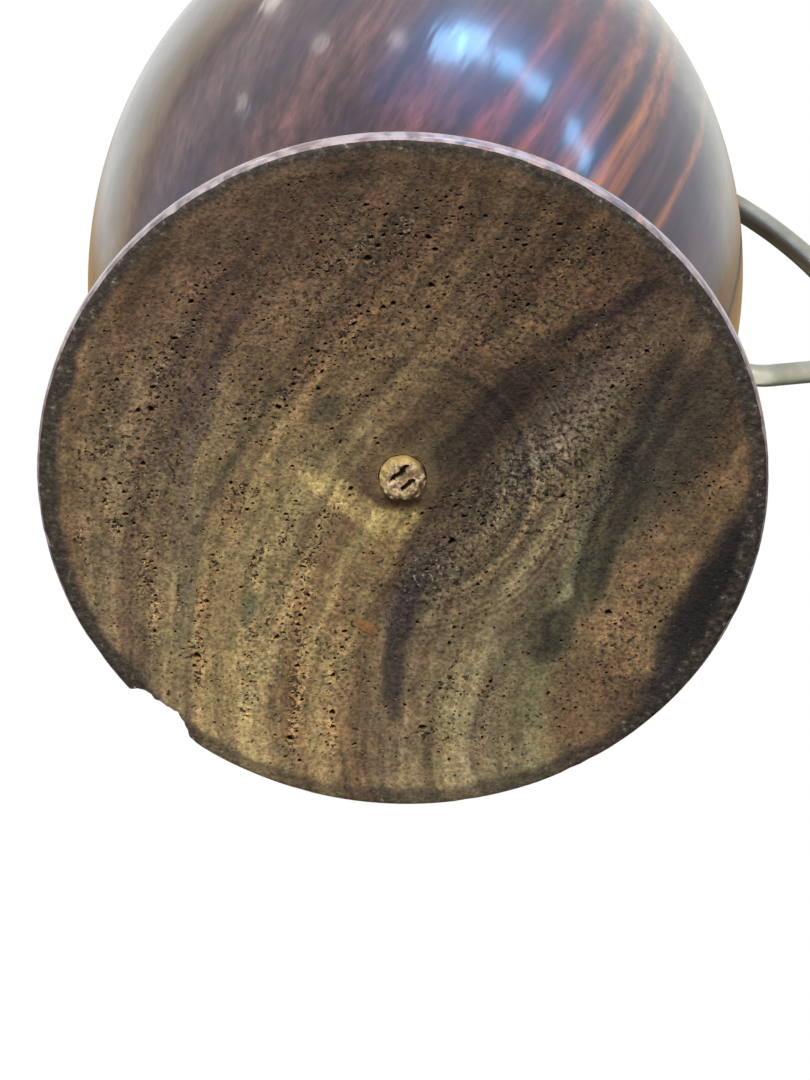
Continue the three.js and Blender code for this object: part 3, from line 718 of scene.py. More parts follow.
flat = add(tree, "VectorMath", {0: place, 1: (1, 1, 0)}, operation="MULTIPLY")
radius = add(tree, "VectorMath", {0: flat}, out=1, operation="LENGTH")
rings = add(tree, "CombineXYZ", {0: radius})
rings = add(tree, "TexNoise", {"Vector": rings, "Scale": 1 / ring_width, "Detail": 3.0, "Roughness": 0.65})
fade = add(tree, "MapRange", {0: radius, 1: 33.0, 2: 26.0, 3: 0.08, 4: 1.0})
inner_fade = add(tree, "MapRange", {0: radius, 1: 6.0, 2: 18.0, 3: 0.25, 4: 1.0})
side_fade = add(tree, "MapRange", {0: rightward, 1: -5.0, 2: 14.0, 3: 0.3, 4: 1.0})
fade = add(tree, "Math", {0: fade, 1: inner_fade}, operation="MULTIPLY")
fade = add(tree, "Math", {0: fade, 1: side_fade}, operation="MULTIPLY")
rings = add(tree, "Math", {0: rings, 1: 0.5}, operation="SUBTRACT")
rings = add(tree, "Math", {0: rings, 1: fade}, operation="MULTIPLY")
ring_tone = add(tree, "MapRange", {0: rings, 1: -ring_swing, 2: ring_swing, 3: 0.35, 4: 1.65})
colour = add(tree, "VectorMath", {0: colour, "Scale": ring_tone}, operation="SCALE")
print("nodes after the rings:", len(tree.nodes))

# %% Oil, painted shadow and the flake
halo = add(tree, "MapRange", {0: radius, 1: 6.0, 2: 3.8, 3: 0.0, 4: 0.4})
halo = add(tree, "Math", {0: halo, 1: broken}, operation="MULTIPLY")
# Painted shadow: the plug's shadow is painted dark brown just below it, towards the picture's bottom.
shadow = add(tree, "MapRange", {0: field["up"], 1: -2.6, 2: -4.0, 3: 0.0, 4: 0.8})
shadow_end = add(tree, "MapRange", {0: radius, 1: 6.4, 2: 5.0, 3: 0.0, 4: 1.0})
shadow = add(tree, "Math", {0: shadow, 1: shadow_end}, operation="MULTIPLY")
flake_mask = add(tree, "Attribute", out=2, attribute_name="flake")
flake_mask = add(tree, "MapRange", {0: flake_mask, 1: 0.2, 2: 0.7, 3: 0.0, 4: 0.95})
for mask, shade in ((halo, "#86704a"), (shadow, "#38220f"), (flake_mask, "#75502b")):
    colour = add(tree, "Mix", {0: mask, 6: colour, 7: shade}, **colour_mix)
print("nodes after the marks:", len(tree.nodes))

# %% [markdown]
# ## The rubbed edge, and the end grain's surface
# The jug stands on a narrow ring at the foot's edge. It is rubbed dark, with pale specks of
# mould, and its inner side is soft and wavy. All the patterns together also shape the bump, so
# that grit and rings catch the raking light. Bare wood is dull: a high roughness and no coat.

# %% Edge ring and surface
wave_width = 6
edge_swing = 3.0
mould_width = 1.1
bump_depth = 0.3

wave = add(tree, "TexNoise", {"Vector": place, "Scale": 1 / wave_width, "Detail": 4.0})
wave = add(tree, "Math", {0: wave, 1: 0.5}, operation="SUBTRACT")
edge = add(tree, "Math", {0: wave, 1: edge_swing, 2: radius}, operation="MULTIPLY_ADD")
narrower = add(tree, "MapRange", {0: field["up"], 1: 15.0, 2: 45.0, 3: 0.0, 4: -1.1})
edge = add(tree, "Math", {0: edge, 1: narrower}, operation="ADD")
edge_most = add(tree, "MapRange", {0: field["up"], 1: -52.0, 2: -38.0, 3: 0.6, 4: 0.92})
edge_dark = add(tree, "MapRange", {0: edge, 1: 51.2, 2: 52.7, 3: 0.0, 4: edge_most},
                interpolation_type="SMOOTHSTEP")
mould = add(tree, "TexNoise", {"Vector": place, "Scale": 1 / mould_width, "Detail": 4.0, "Roughness": 0.7})
mould = add(tree, "ValToRGB", {0: mould}, stops=[
    (0.36, "#161310"), (0.54, "#332d26"), (0.63, "#4b4638"), (0.72, "#8d918a")])
colour = add(tree, "Mix", {0: edge_dark, 6: colour, 7: mould}, **colour_mix)

heights = grit
for pattern, share in ((rings, 0.8), (speck, -0.6), (coarse, 1.2), (growth, 0.6)):
    heights = add(tree, "Math", {0: pattern, 1: share, 2: heights}, operation="MULTIPLY_ADD")
bump = add(tree, "Bump", {"Height": heights, "Distance": bump_depth * MM, "Strength": 0.9})
skin = add(tree, "BsdfPrincipled", {"Base Color": colour, "Roughness": 0.8, "Normal": bump, "IOR": 1.45})
add(tree, "OutputMaterial", {"Surface": skin})
print("nodes of the end grain:", len(tree.nodes))

# %% [markdown]
# ## Split rosewood
# Where the chip broke away, the wood was torn along its fibres and never touched since: paler
# than the polished outside, rough and stringy. Its fibres are drawn 0.35 mm wide.

# %% Split rosewood
fibre_width = 0.35

split_wood, tree = new_material("split rosewood")
field = growth_field(tree)
fibres = add(tree, "TexNoise", {
    "Vector": field["grain"], "Scale": 1 / fibre_width, "Detail": 4.0, "Roughness": 0.7})
colour = add(tree, "ValToRGB", {0: fibres}, stops=[(0.3, "#3a2a22"), (0.5, "#6f5742"), (0.72, "#a58a6a")])
bump = add(tree, "Bump", {"Height": fibres, "Distance": bump_depth * MM, "Strength": 1.0})
skin = add(tree, "BsdfPrincipled", {"Base Color": colour, "Roughness": 0.75, "Normal": bump})
add(tree, "OutputMaterial", {"Surface": skin})
print("nodes of the split wood:", len(tree.nodes))

# %% [markdown]
# ## The body's profile
# A turned body is one profile spun round an axis. The same sizes as in the CAD source are
# written here in millimetres, and the curves are sampled much more finely. The belly is part
# of an ellipse, inside and out. Foot, shoulder and flare join it with arcs and Bezier curves.

# %% Sizes of the profile, in mm
foot_radius = 55
edge_height = 4
edge_rounding = 1.2
edge_flat = (1.7, 2.3)
ring_radius = 51.4
ring_inside = 49.2
hollow_depth = 3.2
hole_radius = 3.67
hole_top = 10.9
waist_radius = 38.5
waist_height = 13
belly_start = 24
belly_radius = 55.6
belly_height = 96.4
belly_half = 109.5
shoulder_height = 160
neck_radius = 31
neck_height = 188
rim_radius = 36.5
rim_height = 206
rim_wall = 4.2
belly_wall = 7
neck_wall = 5.5
floor_height = 16
lip_reach = 11
lip_rise = 3
lip_start = 176
lip_half_width = math.radians(26)
print("foot", 2 * foot_radius, "mm and belly", 2 * belly_radius, "mm across")

# %% Curves


def turns(count):
    """The angles of evenly spaced points round a circle."""
    return [2 * math.pi * i / count for i in range(count)]


def ellipse_radius(widest, half_length, height):
    """The radius of an ellipse of revolution whose widest place is the belly's."""
    return widest * math.sqrt(max(0.0, 1 - ((height - belly_height) / half_length) ** 2))


def ellipse_slope(widest, half_length, height):
    """How fast that radius grows with height."""
    share = (height - belly_height) / half_length
    return -widest * share / (half_length * math.sqrt(1 - share ** 2))


def outer_radius(height):
    """The belly's outside."""
    return ellipse_radius(belly_radius, belly_half, height)


def hollow_radius(height):
    """The belly's inside, which is rounder below its widest place."""
    half = belly_height - floor_height if height < belly_height else belly_half
    return ellipse_radius(belly_radius - belly_wall, half, height)


def bezier(points, steps):
    """Points along a curve of one to three control spans, without its first point."""
    curve = []
    for i in range(1, steps + 1):
        t = i / steps
        level = [np.array(p, float) for p in points]
        while len(level) > 1:
            level = [a * (1 - t) + b * t for a, b in zip(level, level[1:])]
        curve.append(tuple(level[0]))
    return curve


def arc(centre, across, up, start, end, steps):
    """Points along part of an ellipse, from one angle in degrees to another."""
    angles = [math.radians(start + (end - start) * i / steps) for i in range(1, steps + 1)]
    return [(centre[0] + across * math.cos(t), centre[1] + up * math.sin(t)) for t in angles]


print("outer radius at the shoulder:", round(outer_radius(shoulder_height), 2), "mm")

# %% Profile, from the foot's edge over the rim to the middle of the floor
shoulder_pull = 0.45
rim_low = rim_height - rim_wall / 2
belly_inside = belly_radius - belly_wall
shoulder_slope = ellipse_slope(belly_radius, belly_half, shoulder_height)


def neck_curve(radius, slope, throat, mouth, mouth_height):
    """Shoulder and flare, from the belly's ellipse to just under the rim."""
    pull = shoulder_pull * (neck_height - shoulder_height)
    shoulder = bezier([(radius, shoulder_height), (radius + slope * pull, shoulder_height + pull),
                       (throat, neck_height - pull), (throat, neck_height)], 14)
    flare = bezier([(throat, neck_height), (throat, neck_height + 0.5 * (mouth_height - neck_height)),
                    (mouth, mouth_height)], 11)
    return shoulder + flare


neck_outside = neck_curve(outer_radius(shoulder_height), shoulder_slope, neck_radius, rim_radius, rim_low)


def outside_profile():
    """From the bearing ring's outer edge, over foot, waist and belly, to the top of the rim."""
    edge_centre = foot_radius - edge_rounding
    start_radius = outer_radius(belly_start)
    start_slope = ellipse_slope(belly_radius, belly_half, belly_start)
    points = [(edge_centre, 0.0)]
    points += arc((edge_centre, edge_rounding), edge_rounding, edge_rounding, -90, 0, 6)
    points += [(foot_radius, z) for z in edge_flat]
    points += arc((edge_centre, edge_height - edge_rounding), edge_rounding, edge_rounding, 0, 90, 6)
    points += arc((edge_centre, waist_height), edge_centre - waist_radius, waist_height - edge_height,
                  270, 180, 18)
    points += bezier([(waist_radius, waist_height),
                      (waist_radius, belly_start - (start_radius - waist_radius) / start_slope),
                      (start_radius, belly_start)], 8)
    points += [(outer_radius(z), z) for z in np.linspace(belly_start, shoulder_height, 44)[1:]]
    points += neck_outside
    return points + arc((rim_radius - rim_wall / 2, rim_low), rim_wall / 2, rim_wall / 2, 0, 180, 10)


def inside_profile():
    """From the inner side of the rim, down the throat and the hollow, to near the floor's middle."""
    throat = neck_curve(hollow_radius(shoulder_height),
                        ellipse_slope(belly_inside, belly_half, shoulder_height),
                        neck_radius - neck_wall, rim_radius - rim_wall, rim_low)
    upper = [(hollow_radius(z), z) for z in np.linspace(shoulder_height, belly_height, 16)]
    lower = arc((0, belly_height), belly_inside, belly_height - floor_height, 0, -89, 24)
    return throat[::-1][1:] + upper + lower


profile = outside_profile() + inside_profile()
print("profile points:", len(profile), "height", max(z for _, z in profile), "mm")

# %% [markdown]
# ## The underside as a real surface
# Bump alone would leave the pits flat in an exported mesh, so each one is a small crater. The
# craters are scattered with a seeded generator, thickest along the growth bands where the
# photograph shows rows of them, and a Delaunay triangulation joins their rims to a loose
# grid between them.

# %% Where the open vessels lie
# A row of open vessels: middle along the bands, lowest and highest place up the picture, half
# width, and how thickly they lie there, from 0 to 1.
pit_rows = [
    (131.2, -46, -29, 1.5, 1.0), (133.4, -27, -20, 1.8, 1.0), (134.3, -18, -6, 1.4, 0.9),
    (125.1, -46, -34, 0.8, 1.0), (124.6, -30, -24, 1.2, 0.5), (111.4, -42, -33, 0.5, 0.9),
    (108.3, -44, -33, 1.4, 0.5), (103.6, -45, -32, 0.8, 0.5), (149.2, -35, -22, 1.3, 0.95),
    (148.9, -20, -4, 1.1, 0.6), (147.4, -7, -4, 1.2, 0.9), (139.6, -12, -8, 1.0, 0.9),
    (141.6, -18, -14, 1.1, 0.8), (139.9, -40, -27, 1.1, 0.7), (153.6, -26, -21, 0.5, 1.0),
    (159.3, -21, -12, 1.7, 1.0), (157.8, -29, -21, 1.2, 0.9), (162.5, -10, 2, 1.4, 0.6),
    (166.0, -10, -2, 1.3, 0.9), (170.8, -12, 4, 0.9, 0.5), (168.5, 2, 18, 1.3, 0.8),
    (163.5, 8, 20, 1.6, 0.7), (164.0, 20, 34, 1.6, 0.5), (158.0, 10, 30, 1.6, 0.35),
    (155.3, 34, 38, 2.2, 1.0), (151.0, 36, 42, 2.4, 1.0), (147.5, 38, 46, 2.4, 0.55),
    (157.5, 38, 44, 2.0, 0.5), (148.0, 20, 28, 2.0, 0.8), (149.0, 5, 20, 2.2, 0.6),
    (143.5, 18, 32, 1.8, 0.5), (141.5, 2, 14, 1.5, 0.4), (152.5, 8, 32, 1.4, 0.4),
    (138.0, 32, 43, 3.0, 0.45), (129.0, 33, 42, 3.0, 0.5), (133.0, 20, 30, 3.0, 0.4),
    (120.5, -4, -1, 1.4, 1.0), (116.5, -14, -6, 2.2, 0.6), (112.0, 18, 24, 1.6, 0.6),
    (118.0, 12, 26, 3.0, 0.3), (105.6, -6, 6, 1.1, 0.4), (96.0, -16, 4, 1.6, 0.3),
    (93.0, -36, -14, 2.0, 0.25),
]
# A flecked patch: middle along the bands and up the picture, half sizes, and how rough it is.
flecked_patches = [
    (114, 2, 7, 16, 0.9), (116, -15, 6, 8, 0.8), (105, -2, 3, 9, 0.6), (120, 24, 7, 9, 0.55),
    (127, -30, 5, 12, 0.4), (92, -24, 3, 12, 0.5), (150, 30, 13, 16, 0.45), (132, 32, 12, 14, 0.5),
    (162, 2, 9, 25, 0.4), (136, -28, 6, 14, 0.35),
]
row_end_fade = 1.5
stray_share = 0.07
row_waver = 1.2
row_waver_width = 6
# Sizes of the crowded and the stray patches: across the bands, and up the picture.
crowd_size = (1.6, 4.5)
stray_size = (2.4, 9)


def smooth_noise(x, y, layer, size=1.0):
    """Blender's noise at a place in mm, for bumps about as wide as size."""
    return noise.noise(Vector((x / size, y / size, layer)))


def band_place(x, y):
    """Where a point of the underside lies: along the bands, and up the picture, in mm."""
    from_pith = Vector((x, y, 0)) - Vector(pith_at_floor)
    distance = (from_pith - pith_lean * from_pith.dot(pith_lean)).length
    right = Vector((x, y, 0)).dot(picture_right) / bend_reach
    up = Vector((x, y, 0)).dot(picture_up) / bend_reach
    return distance + up * (bend_wide * right * right + bend_tall * up * up), up * bend_reach


def pit_density(x, y):
    """How thick the open vessels lie at a place, from 0 to 1."""
    band, up = band_place(x, y)
    band += row_waver * smooth_noise(x, y, 3, row_waver_width)
    patch = max(0.0, 0.7 + 1.5 * noise.noise(Vector((band / crowd_size[0], up / crowd_size[1], 8))))
    stray = max(0.0, 0.6 + 1.6 * noise.noise(Vector((band / stray_size[0], up / stray_size[1], 2))))
    most = stray_share * stray
    for middle, lowest, highest, half_width, share in pit_rows:
        over = max(0.0, lowest - up, up - highest)
        near = math.exp(-((band - middle) / half_width) ** 2 - (over / row_end_fade) ** 2)
        most = max(most, share * patch * near)
    return most


def rough_zone(x, y):
    """How rough and flecked the surface is between the pits, from 0 to 1."""
    band, up = band_place(x, y)
    most = pit_density(x, y)
    for middle, height, half_width, half_height, share in flecked_patches:
        near = math.exp(-((band - middle) / half_width) ** 2 - ((up - height) / half_height) ** 2)
        most = max(most, share * near)
    return min(1.0, most)


print("density 30 mm left of the plug:", round(pit_density(*from_picture(-30, 0, 0)[:2]), 3))

# %% Craters, none touching another
dice = random.Random(7)
pit_tries = 60000
pit_reach = 52
pit_size = 0.2
crowded_pit_size = 0.32
smallest_pit = 0.14
largest_pit = 0.95
size_spread = 0.42
narrowest_share = 0.5
swing_spread = 0.7
pit_spacing = 0.02
pit_cell = 1.6
ring_clearance = 0.2
plug_clearance = 1.0

# The flake lies like a pit in the list, but stands out of the surface.
flake_at = from_picture(-4.3, -25.2, 0)
flake_along = from_picture(2.0, -1.15, 0)
flake_length = 2.5
flake_width = 1.1
flake_clearance = 2.9
flake = (flake_at[0], flake_at[1], flake_length, flake_width, math.atan2(flake_along[1], flake_along[0]))


def neighbours(cells, x, y, size):
    """What lies in the cell of a point and in the eight cells round it."""
    column, row = int(x // size), int(y // size)
    return [item for i in (-1, 0, 1) for j in (-1, 0, 1) for item in cells.get((column + i, row + j), [])]


def near_ring(radius, clearance):
    """Whether a place is too close to the edges of the bearing ring."""
    return min(abs(radius - ring_radius), abs(radius - ring_inside)) < clearance


def scatter_pits():
    """Pits as (x, y, long radius, short radius, direction)."""
    found, cells = [], {}
    for _ in range(pit_tries):
        radius = pit_reach * math.sqrt(dice.random())
        turn = dice.uniform(0, 2 * math.pi)
        chance = dice.random()
        size = dice.gauss(0, size_spread)
        narrow = dice.uniform(narrowest_share, 1.0)
        swing = dice.gauss(0, swing_spread)
        x, y = radius * math.cos(turn), radius * math.sin(turn)
        share = pit_density(x, y)
        if radius < hole_radius + plug_clearance or chance > share:
            continue
        if math.hypot(x - flake[0], y - flake[1]) < flake_clearance:
            continue
        long_radius = (pit_size + crowded_pit_size * share) * math.exp(size)
        long_radius = min(max(long_radius, smallest_pit), largest_pit)
        if near_ring(radius, long_radius + ring_clearance):
            continue
        near = neighbours(cells, x, y, pit_cell)
        if any(math.hypot(x - p[0], y - p[1]) < long_radius + p[2] + pit_spacing for p in near):
            continue
        spin = math.atan2(y - pith_at_floor[1], x - pith_at_floor[0]) + math.pi / 2 + swing
        found.append((x, y, long_radius, long_radius * narrow, spin))
        cells.setdefault((int(x // pit_cell), int(y // pit_cell)), []).append(found[-1])
    return found


pits = [flake] + scatter_pits()
print("pits in the end grain:", len(pits))

# %% The sheet before it is triangulated: rings, outlines of pits and a loose grid
sides = 200
hole_sides = 48
deep_pit = 0.3
flake_corners = 20
deep_pit_corners = 11
small_pit_corners = 7
ragged_flake = 0.9
ragged_pit = 0.58
grid_step = 1.25
grid_row_share = 0.866
grid_rows = 50
grid_jitter = 0.3
grid_reach = 53.1
grid_cell = 2
grid_clearance = 0.5
pit_clearance = 0.2
sheet_points, sheet_edges = [], []


def circle(radius, count):
    """Points round the axis."""
    return [(radius * math.cos(turn), radius * math.sin(turn)) for turn in turns(count)]


def add_loop(points):
    """Adds a closed outline to the sheet, and returns the numbers of its points."""
    first = len(sheet_points)
    sheet_points.extend(Vector(p) for p in points)
    sheet_edges.extend((first + i, first + (i + 1) % len(points)) for i in range(len(points)))
    return list(range(first, len(sheet_points)))


def pit_outline(x, y, long_radius, short_radius, spin):
    """The uneven outline of a pit, or the rounder one of the flake."""
    stands_out = long_radius == flake_length
    count = flake_corners if stands_out else deep_pit_corners if long_radius > deep_pit else small_pit_corners
    corners = []
    for turn in turns(count):
        swell = dice.uniform(ragged_flake if stands_out else ragged_pit, 1.0)
        a, b = long_radius * swell * math.cos(turn), short_radius * swell * math.sin(turn)
        corners.append((x + a * math.cos(spin) - b * math.sin(spin),
                        y + a * math.sin(spin) + b * math.cos(spin)))
    return corners


def grid_points():
    """A loose triangular grid that keeps clear of rings and pits."""
    taken, found = {}, []
    for x, y, long_radius, _, _ in pits:
        taken.setdefault((int(x // grid_cell), int(y // grid_cell)), []).append((x, y, long_radius))
    for row in range(-grid_rows, grid_rows + 1):
        for column in range(-grid_rows, grid_rows + 1):
            x = (column + 0.5 * (row % 2)) * grid_step + dice.uniform(-grid_jitter, grid_jitter)
            y = row * grid_step * grid_row_share + dice.uniform(-grid_jitter, grid_jitter)
            radius = math.hypot(x, y)
            if radius < hole_radius + grid_clearance or radius > grid_reach:
                continue
            if near_ring(radius, grid_clearance):
                continue
            near = neighbours(taken, x, y, grid_cell)
            if all(math.hypot(x - p[0], y - p[1]) > p[2] + pit_clearance for p in near):
                found.append(Vector((x, y)))
    return found


outer_loop = add_loop(circle(foot_radius - edge_rounding, sides))
add_loop(circle(ring_radius, sides))
add_loop(circle(ring_inside, sides))
hole_loop = add_loop(circle(hole_radius, hole_sides))
pit_lips = [add_loop(pit_outline(*pit)) for pit in pits]
sheet_points += grid_points()
print("points before triangulation:", len(sheet_points))

# %% Triangles between the pits
sheet, _, triangles, origins, _, _ = delaunay_2d_cdt(sheet_points, sheet_edges, [], 0, 1e-6, True)
new_index = {old: new for new, olds in enumerate(origins) for old in olds}
owner = {new_index[i]: pit for pit, lip in enumerate(pit_lips) for i in lip}


def inside_lip(pit, point):
    """Whether a point lies within a pit's outline."""
    corners = [sheet[new_index[i]] for i in pit_lips[pit]]
    crossings = 0
    for a, b in zip(corners, corners[1:] + corners[:1]):
        if (a[1] > point[1]) != (b[1] > point[1]):
            crossings += point[0] < a[0] + (point[1] - a[1]) / (b[1] - a[1]) * (b[0] - a[0])
    return crossings % 2 == 1


def between_pits(face):
    """Whether a triangle is surface: neither over a pit nor over the plug's hole."""
    middle = sum((sheet[i] for i in face), Vector((0, 0))) / 3
    owners = {owner.get(i, -1) for i in face}
    sunk = len(owners) == 1 and -1 not in owners and inside_lip(min(owners), middle)
    return middle.length > hole_radius and not sunk


under_faces = [tuple(reversed(face)) for face in triangles if between_pits(face)]
print("triangles between the pits:", len(under_faces))

# %% Height of the underside, and the craters
# The foot's hollow is a shallow bow of (radius, height) that ends at the bearing ring.
bow_middle = (hole_radius + ring_radius) / 2
bow_end = 0.6
bow = [(hole_radius, hollow_depth)]
bow += bezier([(hole_radius, hollow_depth), (bow_middle, hollow_depth), (ring_inside, bow_end)], 60)
bow += [(ring_inside + 0.9, 0.36), (ring_radius - 0.6, 0.08), (ring_radius, 0.0), (foot_radius, 0.0)]
bow_radii, bow_heights = zip(*bow)
flake_rise = 0.4
rim_depth_share = 0.8
broad_wave = 0.05
broad_wave_width = 5
fine_wave = 0.03
fine_wave_width = 1.6
wave_fade = 3
# A pit's depth in short radii, where its wall's lower ring lies, and how deep that ring counts.
pit_depth_range = (1.2, 2.2)
wall_place_range = (0.55, 0.8)
wall_pit_value = 0.7


def underside_height(x, y):
    """The height of the surface between pits, with shallow waves in two widths."""
    radius = math.hypot(x, y)
    height = float(np.interp(radius, bow_radii, bow_heights))
    waves = broad_wave * smooth_noise(x, y, 1, broad_wave_width)
    waves += fine_wave * smooth_noise(x, y, 5, fine_wave_width)
    share = min(1.0, max(0.0, (ring_radius - radius) / wave_fade)) * min(1.0, max(0.0, radius - hole_radius))
    return height + waves * share


def ring_faces(before, after):
    """Four-sided faces between two rings of point numbers."""
    count = len(before)
    return [(before[i], before[(i + 1) % count], after[(i + 1) % count], after[i]) for i in range(count)]


under_verts = [(p[0], p[1], underside_height(p[0], p[1])) for p in sheet]
pit_depth = [0.0] * len(under_verts)
on_flake = [0.0] * len(under_verts)
for pit, lip in enumerate(pit_lips):
    x, y, long_radius, short_radius, _ = pits[pit]
    ring = [new_index[i] for i in lip]
    sink = short_radius * dice.uniform(*pit_depth_range) if pit else -flake_rise
    if long_radius > deep_pit:
        wall = list(range(len(under_verts), len(under_verts) + len(ring)))
        for i in ring:
            near = dice.uniform(*wall_place_range)
            under_verts.append((x + (sheet[i][0] - x) * near, y + (sheet[i][1] - y) * near,
                                under_verts[i][2] + sink * rim_depth_share))
        for i in range(len(ring)):
            j = (i + 1) % len(ring)
            under_faces.append((ring[i], wall[i], wall[j], ring[j]))
        pit_depth += [wall_pit_value if pit else 0.0] * len(ring)
        on_flake += [0.0 if pit else 1.0] * len(ring)
        ring = wall
    under_verts.append((x, y, underside_height(x, y) + sink))
    pit_depth.append(1.0 if pit else 0.0)
    on_flake.append(0.0 if pit else 1.0)
    for i in range(len(ring)):
        under_faces.append((ring[i], len(under_verts) - 1, ring[(i + 1) % len(ring)]))
print("underside:", len(under_verts), "points and", len(under_faces), "faces")

# %% [markdown]
# ## Spinning the body
# The profile becomes rings of points. Near the top the rings are pulled out on one side to
# make the pouring lip, by the same formula as the CAD model. The foot's edge gets
# small dents from years of being set down.

# %% Lip and worn edge
dent_depth = 0.5
broad_dent_depth = 0.12
dent_height = 2.2
dent_threshold = 0.12
edge_tolerance = 0.01


def with_lip(x, y, z):
    """Moves a point of the turned mouth out and up where the lip is."""
    radius = math.hypot(x, y)
    t = min(1.0, max(0.0, (z - lip_start) / (rim_height - lip_start)))
    climb = (t * t * (3 - 2 * t)) ** 2
    if radius == 0 or climb == 0:
        return x, y, z
    share = climb * math.exp(-(math.atan2(y, -x) / lip_half_width) ** 2)
    grow = 1 + lip_reach * share / radius
    return x * grow, y * grow, z + lip_rise * share


def worn_edge(radius, height, turn):
    """The foot's edge, a little dented: radius and height in mm."""
    if height > edge_height or height <= 0 or radius < foot_radius - edge_rounding - edge_tolerance:
        return radius, height
    place = Vector((9 * math.cos(turn), 9 * math.sin(turn), height / 5))
    dent = dent_depth * max(0.0, noise.noise(place * 2.1) - dent_threshold)
    dent += broad_dent_depth * max(0.0, noise.noise(place * 0.7))
    return radius - dent * max(0.0, 1 - height / dent_height), height


print("the lip reaches", round(-with_lip(-rim_radius, 0, rim_height)[0], 2), "mm from the axis")

# %% Body mesh
OUTSIDE, BARE, INSIDE, SPLIT = range(4)
bare_rows = 3
rim_rows = 5


def body_mesh():
    """The whole uncut body: spun outside, underside and plug hole in one closed mesh."""
    verts, faces, kinds = list(under_verts), list(under_faces), [BARE] * len(under_faces)
    previous = [new_index[i] for i in outer_loop]
    mouth = max(range(len(profile)), key=lambda i: profile[i][1])
    for row, (radius, height) in enumerate(profile[1:], 1):
        ring = list(range(len(verts), len(verts) + sides))
        for turn in turns(sides):
            r, h = worn_edge(radius, height, turn)
            verts.append(with_lip(r * math.cos(turn), r * math.sin(turn), h))
        faces += ring_faces(previous, ring)
        kinds += [BARE if row <= bare_rows else OUTSIDE if row <= mouth + rim_rows else INSIDE] * sides
        previous = ring
    verts.append((0, 0, floor_height))
    faces += [(previous[i], previous[(i + 1) % sides], len(verts) - 1) for i in range(sides)]
    kinds += [INSIDE] * sides

    hole = [new_index[i] for i in hole_loop]
    deep = list(range(len(verts), len(verts) + hole_sides))
    verts += [(verts[i][0], verts[i][1], hole_top) for i in hole]
    verts.append((0, 0, hole_top))
    for i in range(hole_sides):
        j = (i + 1) % hole_sides
        faces.append((hole[j], hole[i], deep[i], deep[j]))
        faces.append((deep[j], deep[i], len(verts) - 1))
        kinds += [BARE, BARE]
    return verts, faces, kinds


def make_object(name, verts, faces, materials, kinds=None, smooth_angle=35):
    """A mesh object from points in mm on the turning axis, placed in the CAD frame."""
    mesh = bpy.data.meshes.new(name)
    mesh.from_pydata([((x + axis_x) * MM, y * MM, z * MM) for x, y, z in verts], [], faces)
    for material in materials:
        mesh.materials.append(material)
    if kinds is not None:
        mesh.polygons.foreach_set("material_index", kinds)
    mesh.polygons.foreach_set("use_smooth", [True] * len(mesh.polygons))
    mesh.update()
    mesh.set_sharp_from_angle(angle=math.radians(smooth_angle))
    made = bpy.data.objects.new(name, mesh)
    bpy.context.scene.collection.objects.link(made)
    return made


verts, faces, kinds = body_mesh()
body = make_object("turned_body", verts, faces, [polished_wood, end_grain, inside_wood, split_wood], kinds)
rough = [rough_zone(x, y) for x, y, _ in under_verts]
for name, values in (("pit", pit_depth), ("rough_zone", rough), ("flake", on_flake)):
    values = values + [0.0] * (len(verts) - len(values))
    body.data.attributes.new(name, "FLOAT", "POINT").data.foreach_set("value", values)
print("uncut body:", len(verts), "points,", sum(len(face) - 2 for face in faces), "triangles")

# %% [markdown]
# ## Cutting the chip and the holes
# A piece has broken out of the foot's edge, at the picture's lower left. A split follows the
# grain, so its wall is steep and fibrous. The cutter's inner wall follows the outline seen in
# the photograph. Holes for the handle's two studs are drilled through the wall, with flat
# seats for washers inside. Each cut is a Boolean with a closed mesh, taken out of the body.

# %% The chip's cutter
# The broken wall seen from below: azimuth in degrees, radius in mm.
chip_outline = [
    (113.6, 55.3), (114.2, 54.9), (116.1, 54.2), (118.6, 52.7), (120.4, 52.1), (122.5, 52.3),
    (124.6, 52.7), (127.2, 52.8), (128.5, 53.7), (128.9, 54.7), (129.3, 55.3),
]
chip_azimuths, chip_radii = zip(*chip_outline)
chip_columns = 70
chip_rows = 16
chip_low = -1.0
chip_high = 7.5
chip_outside = 59.0
chip_lean = 0.05
splinter_depth = 0.2
fine_splinter_depth = 0.09


def chip_wall(azimuth, height):
    """The radius of the broken face, splintered along the grain."""
    wall = float(np.interp(azimuth, chip_azimuths, chip_radii))
    wall += splinter_depth * noise.noise(Vector((azimuth * 0.9, height / 9, 0)))
    fine = fine_splinter_depth * noise.noise(Vector((azimuth * 3.1, height / 3, 4)))
    return wall + (fine + chip_lean * max(0.0, height))


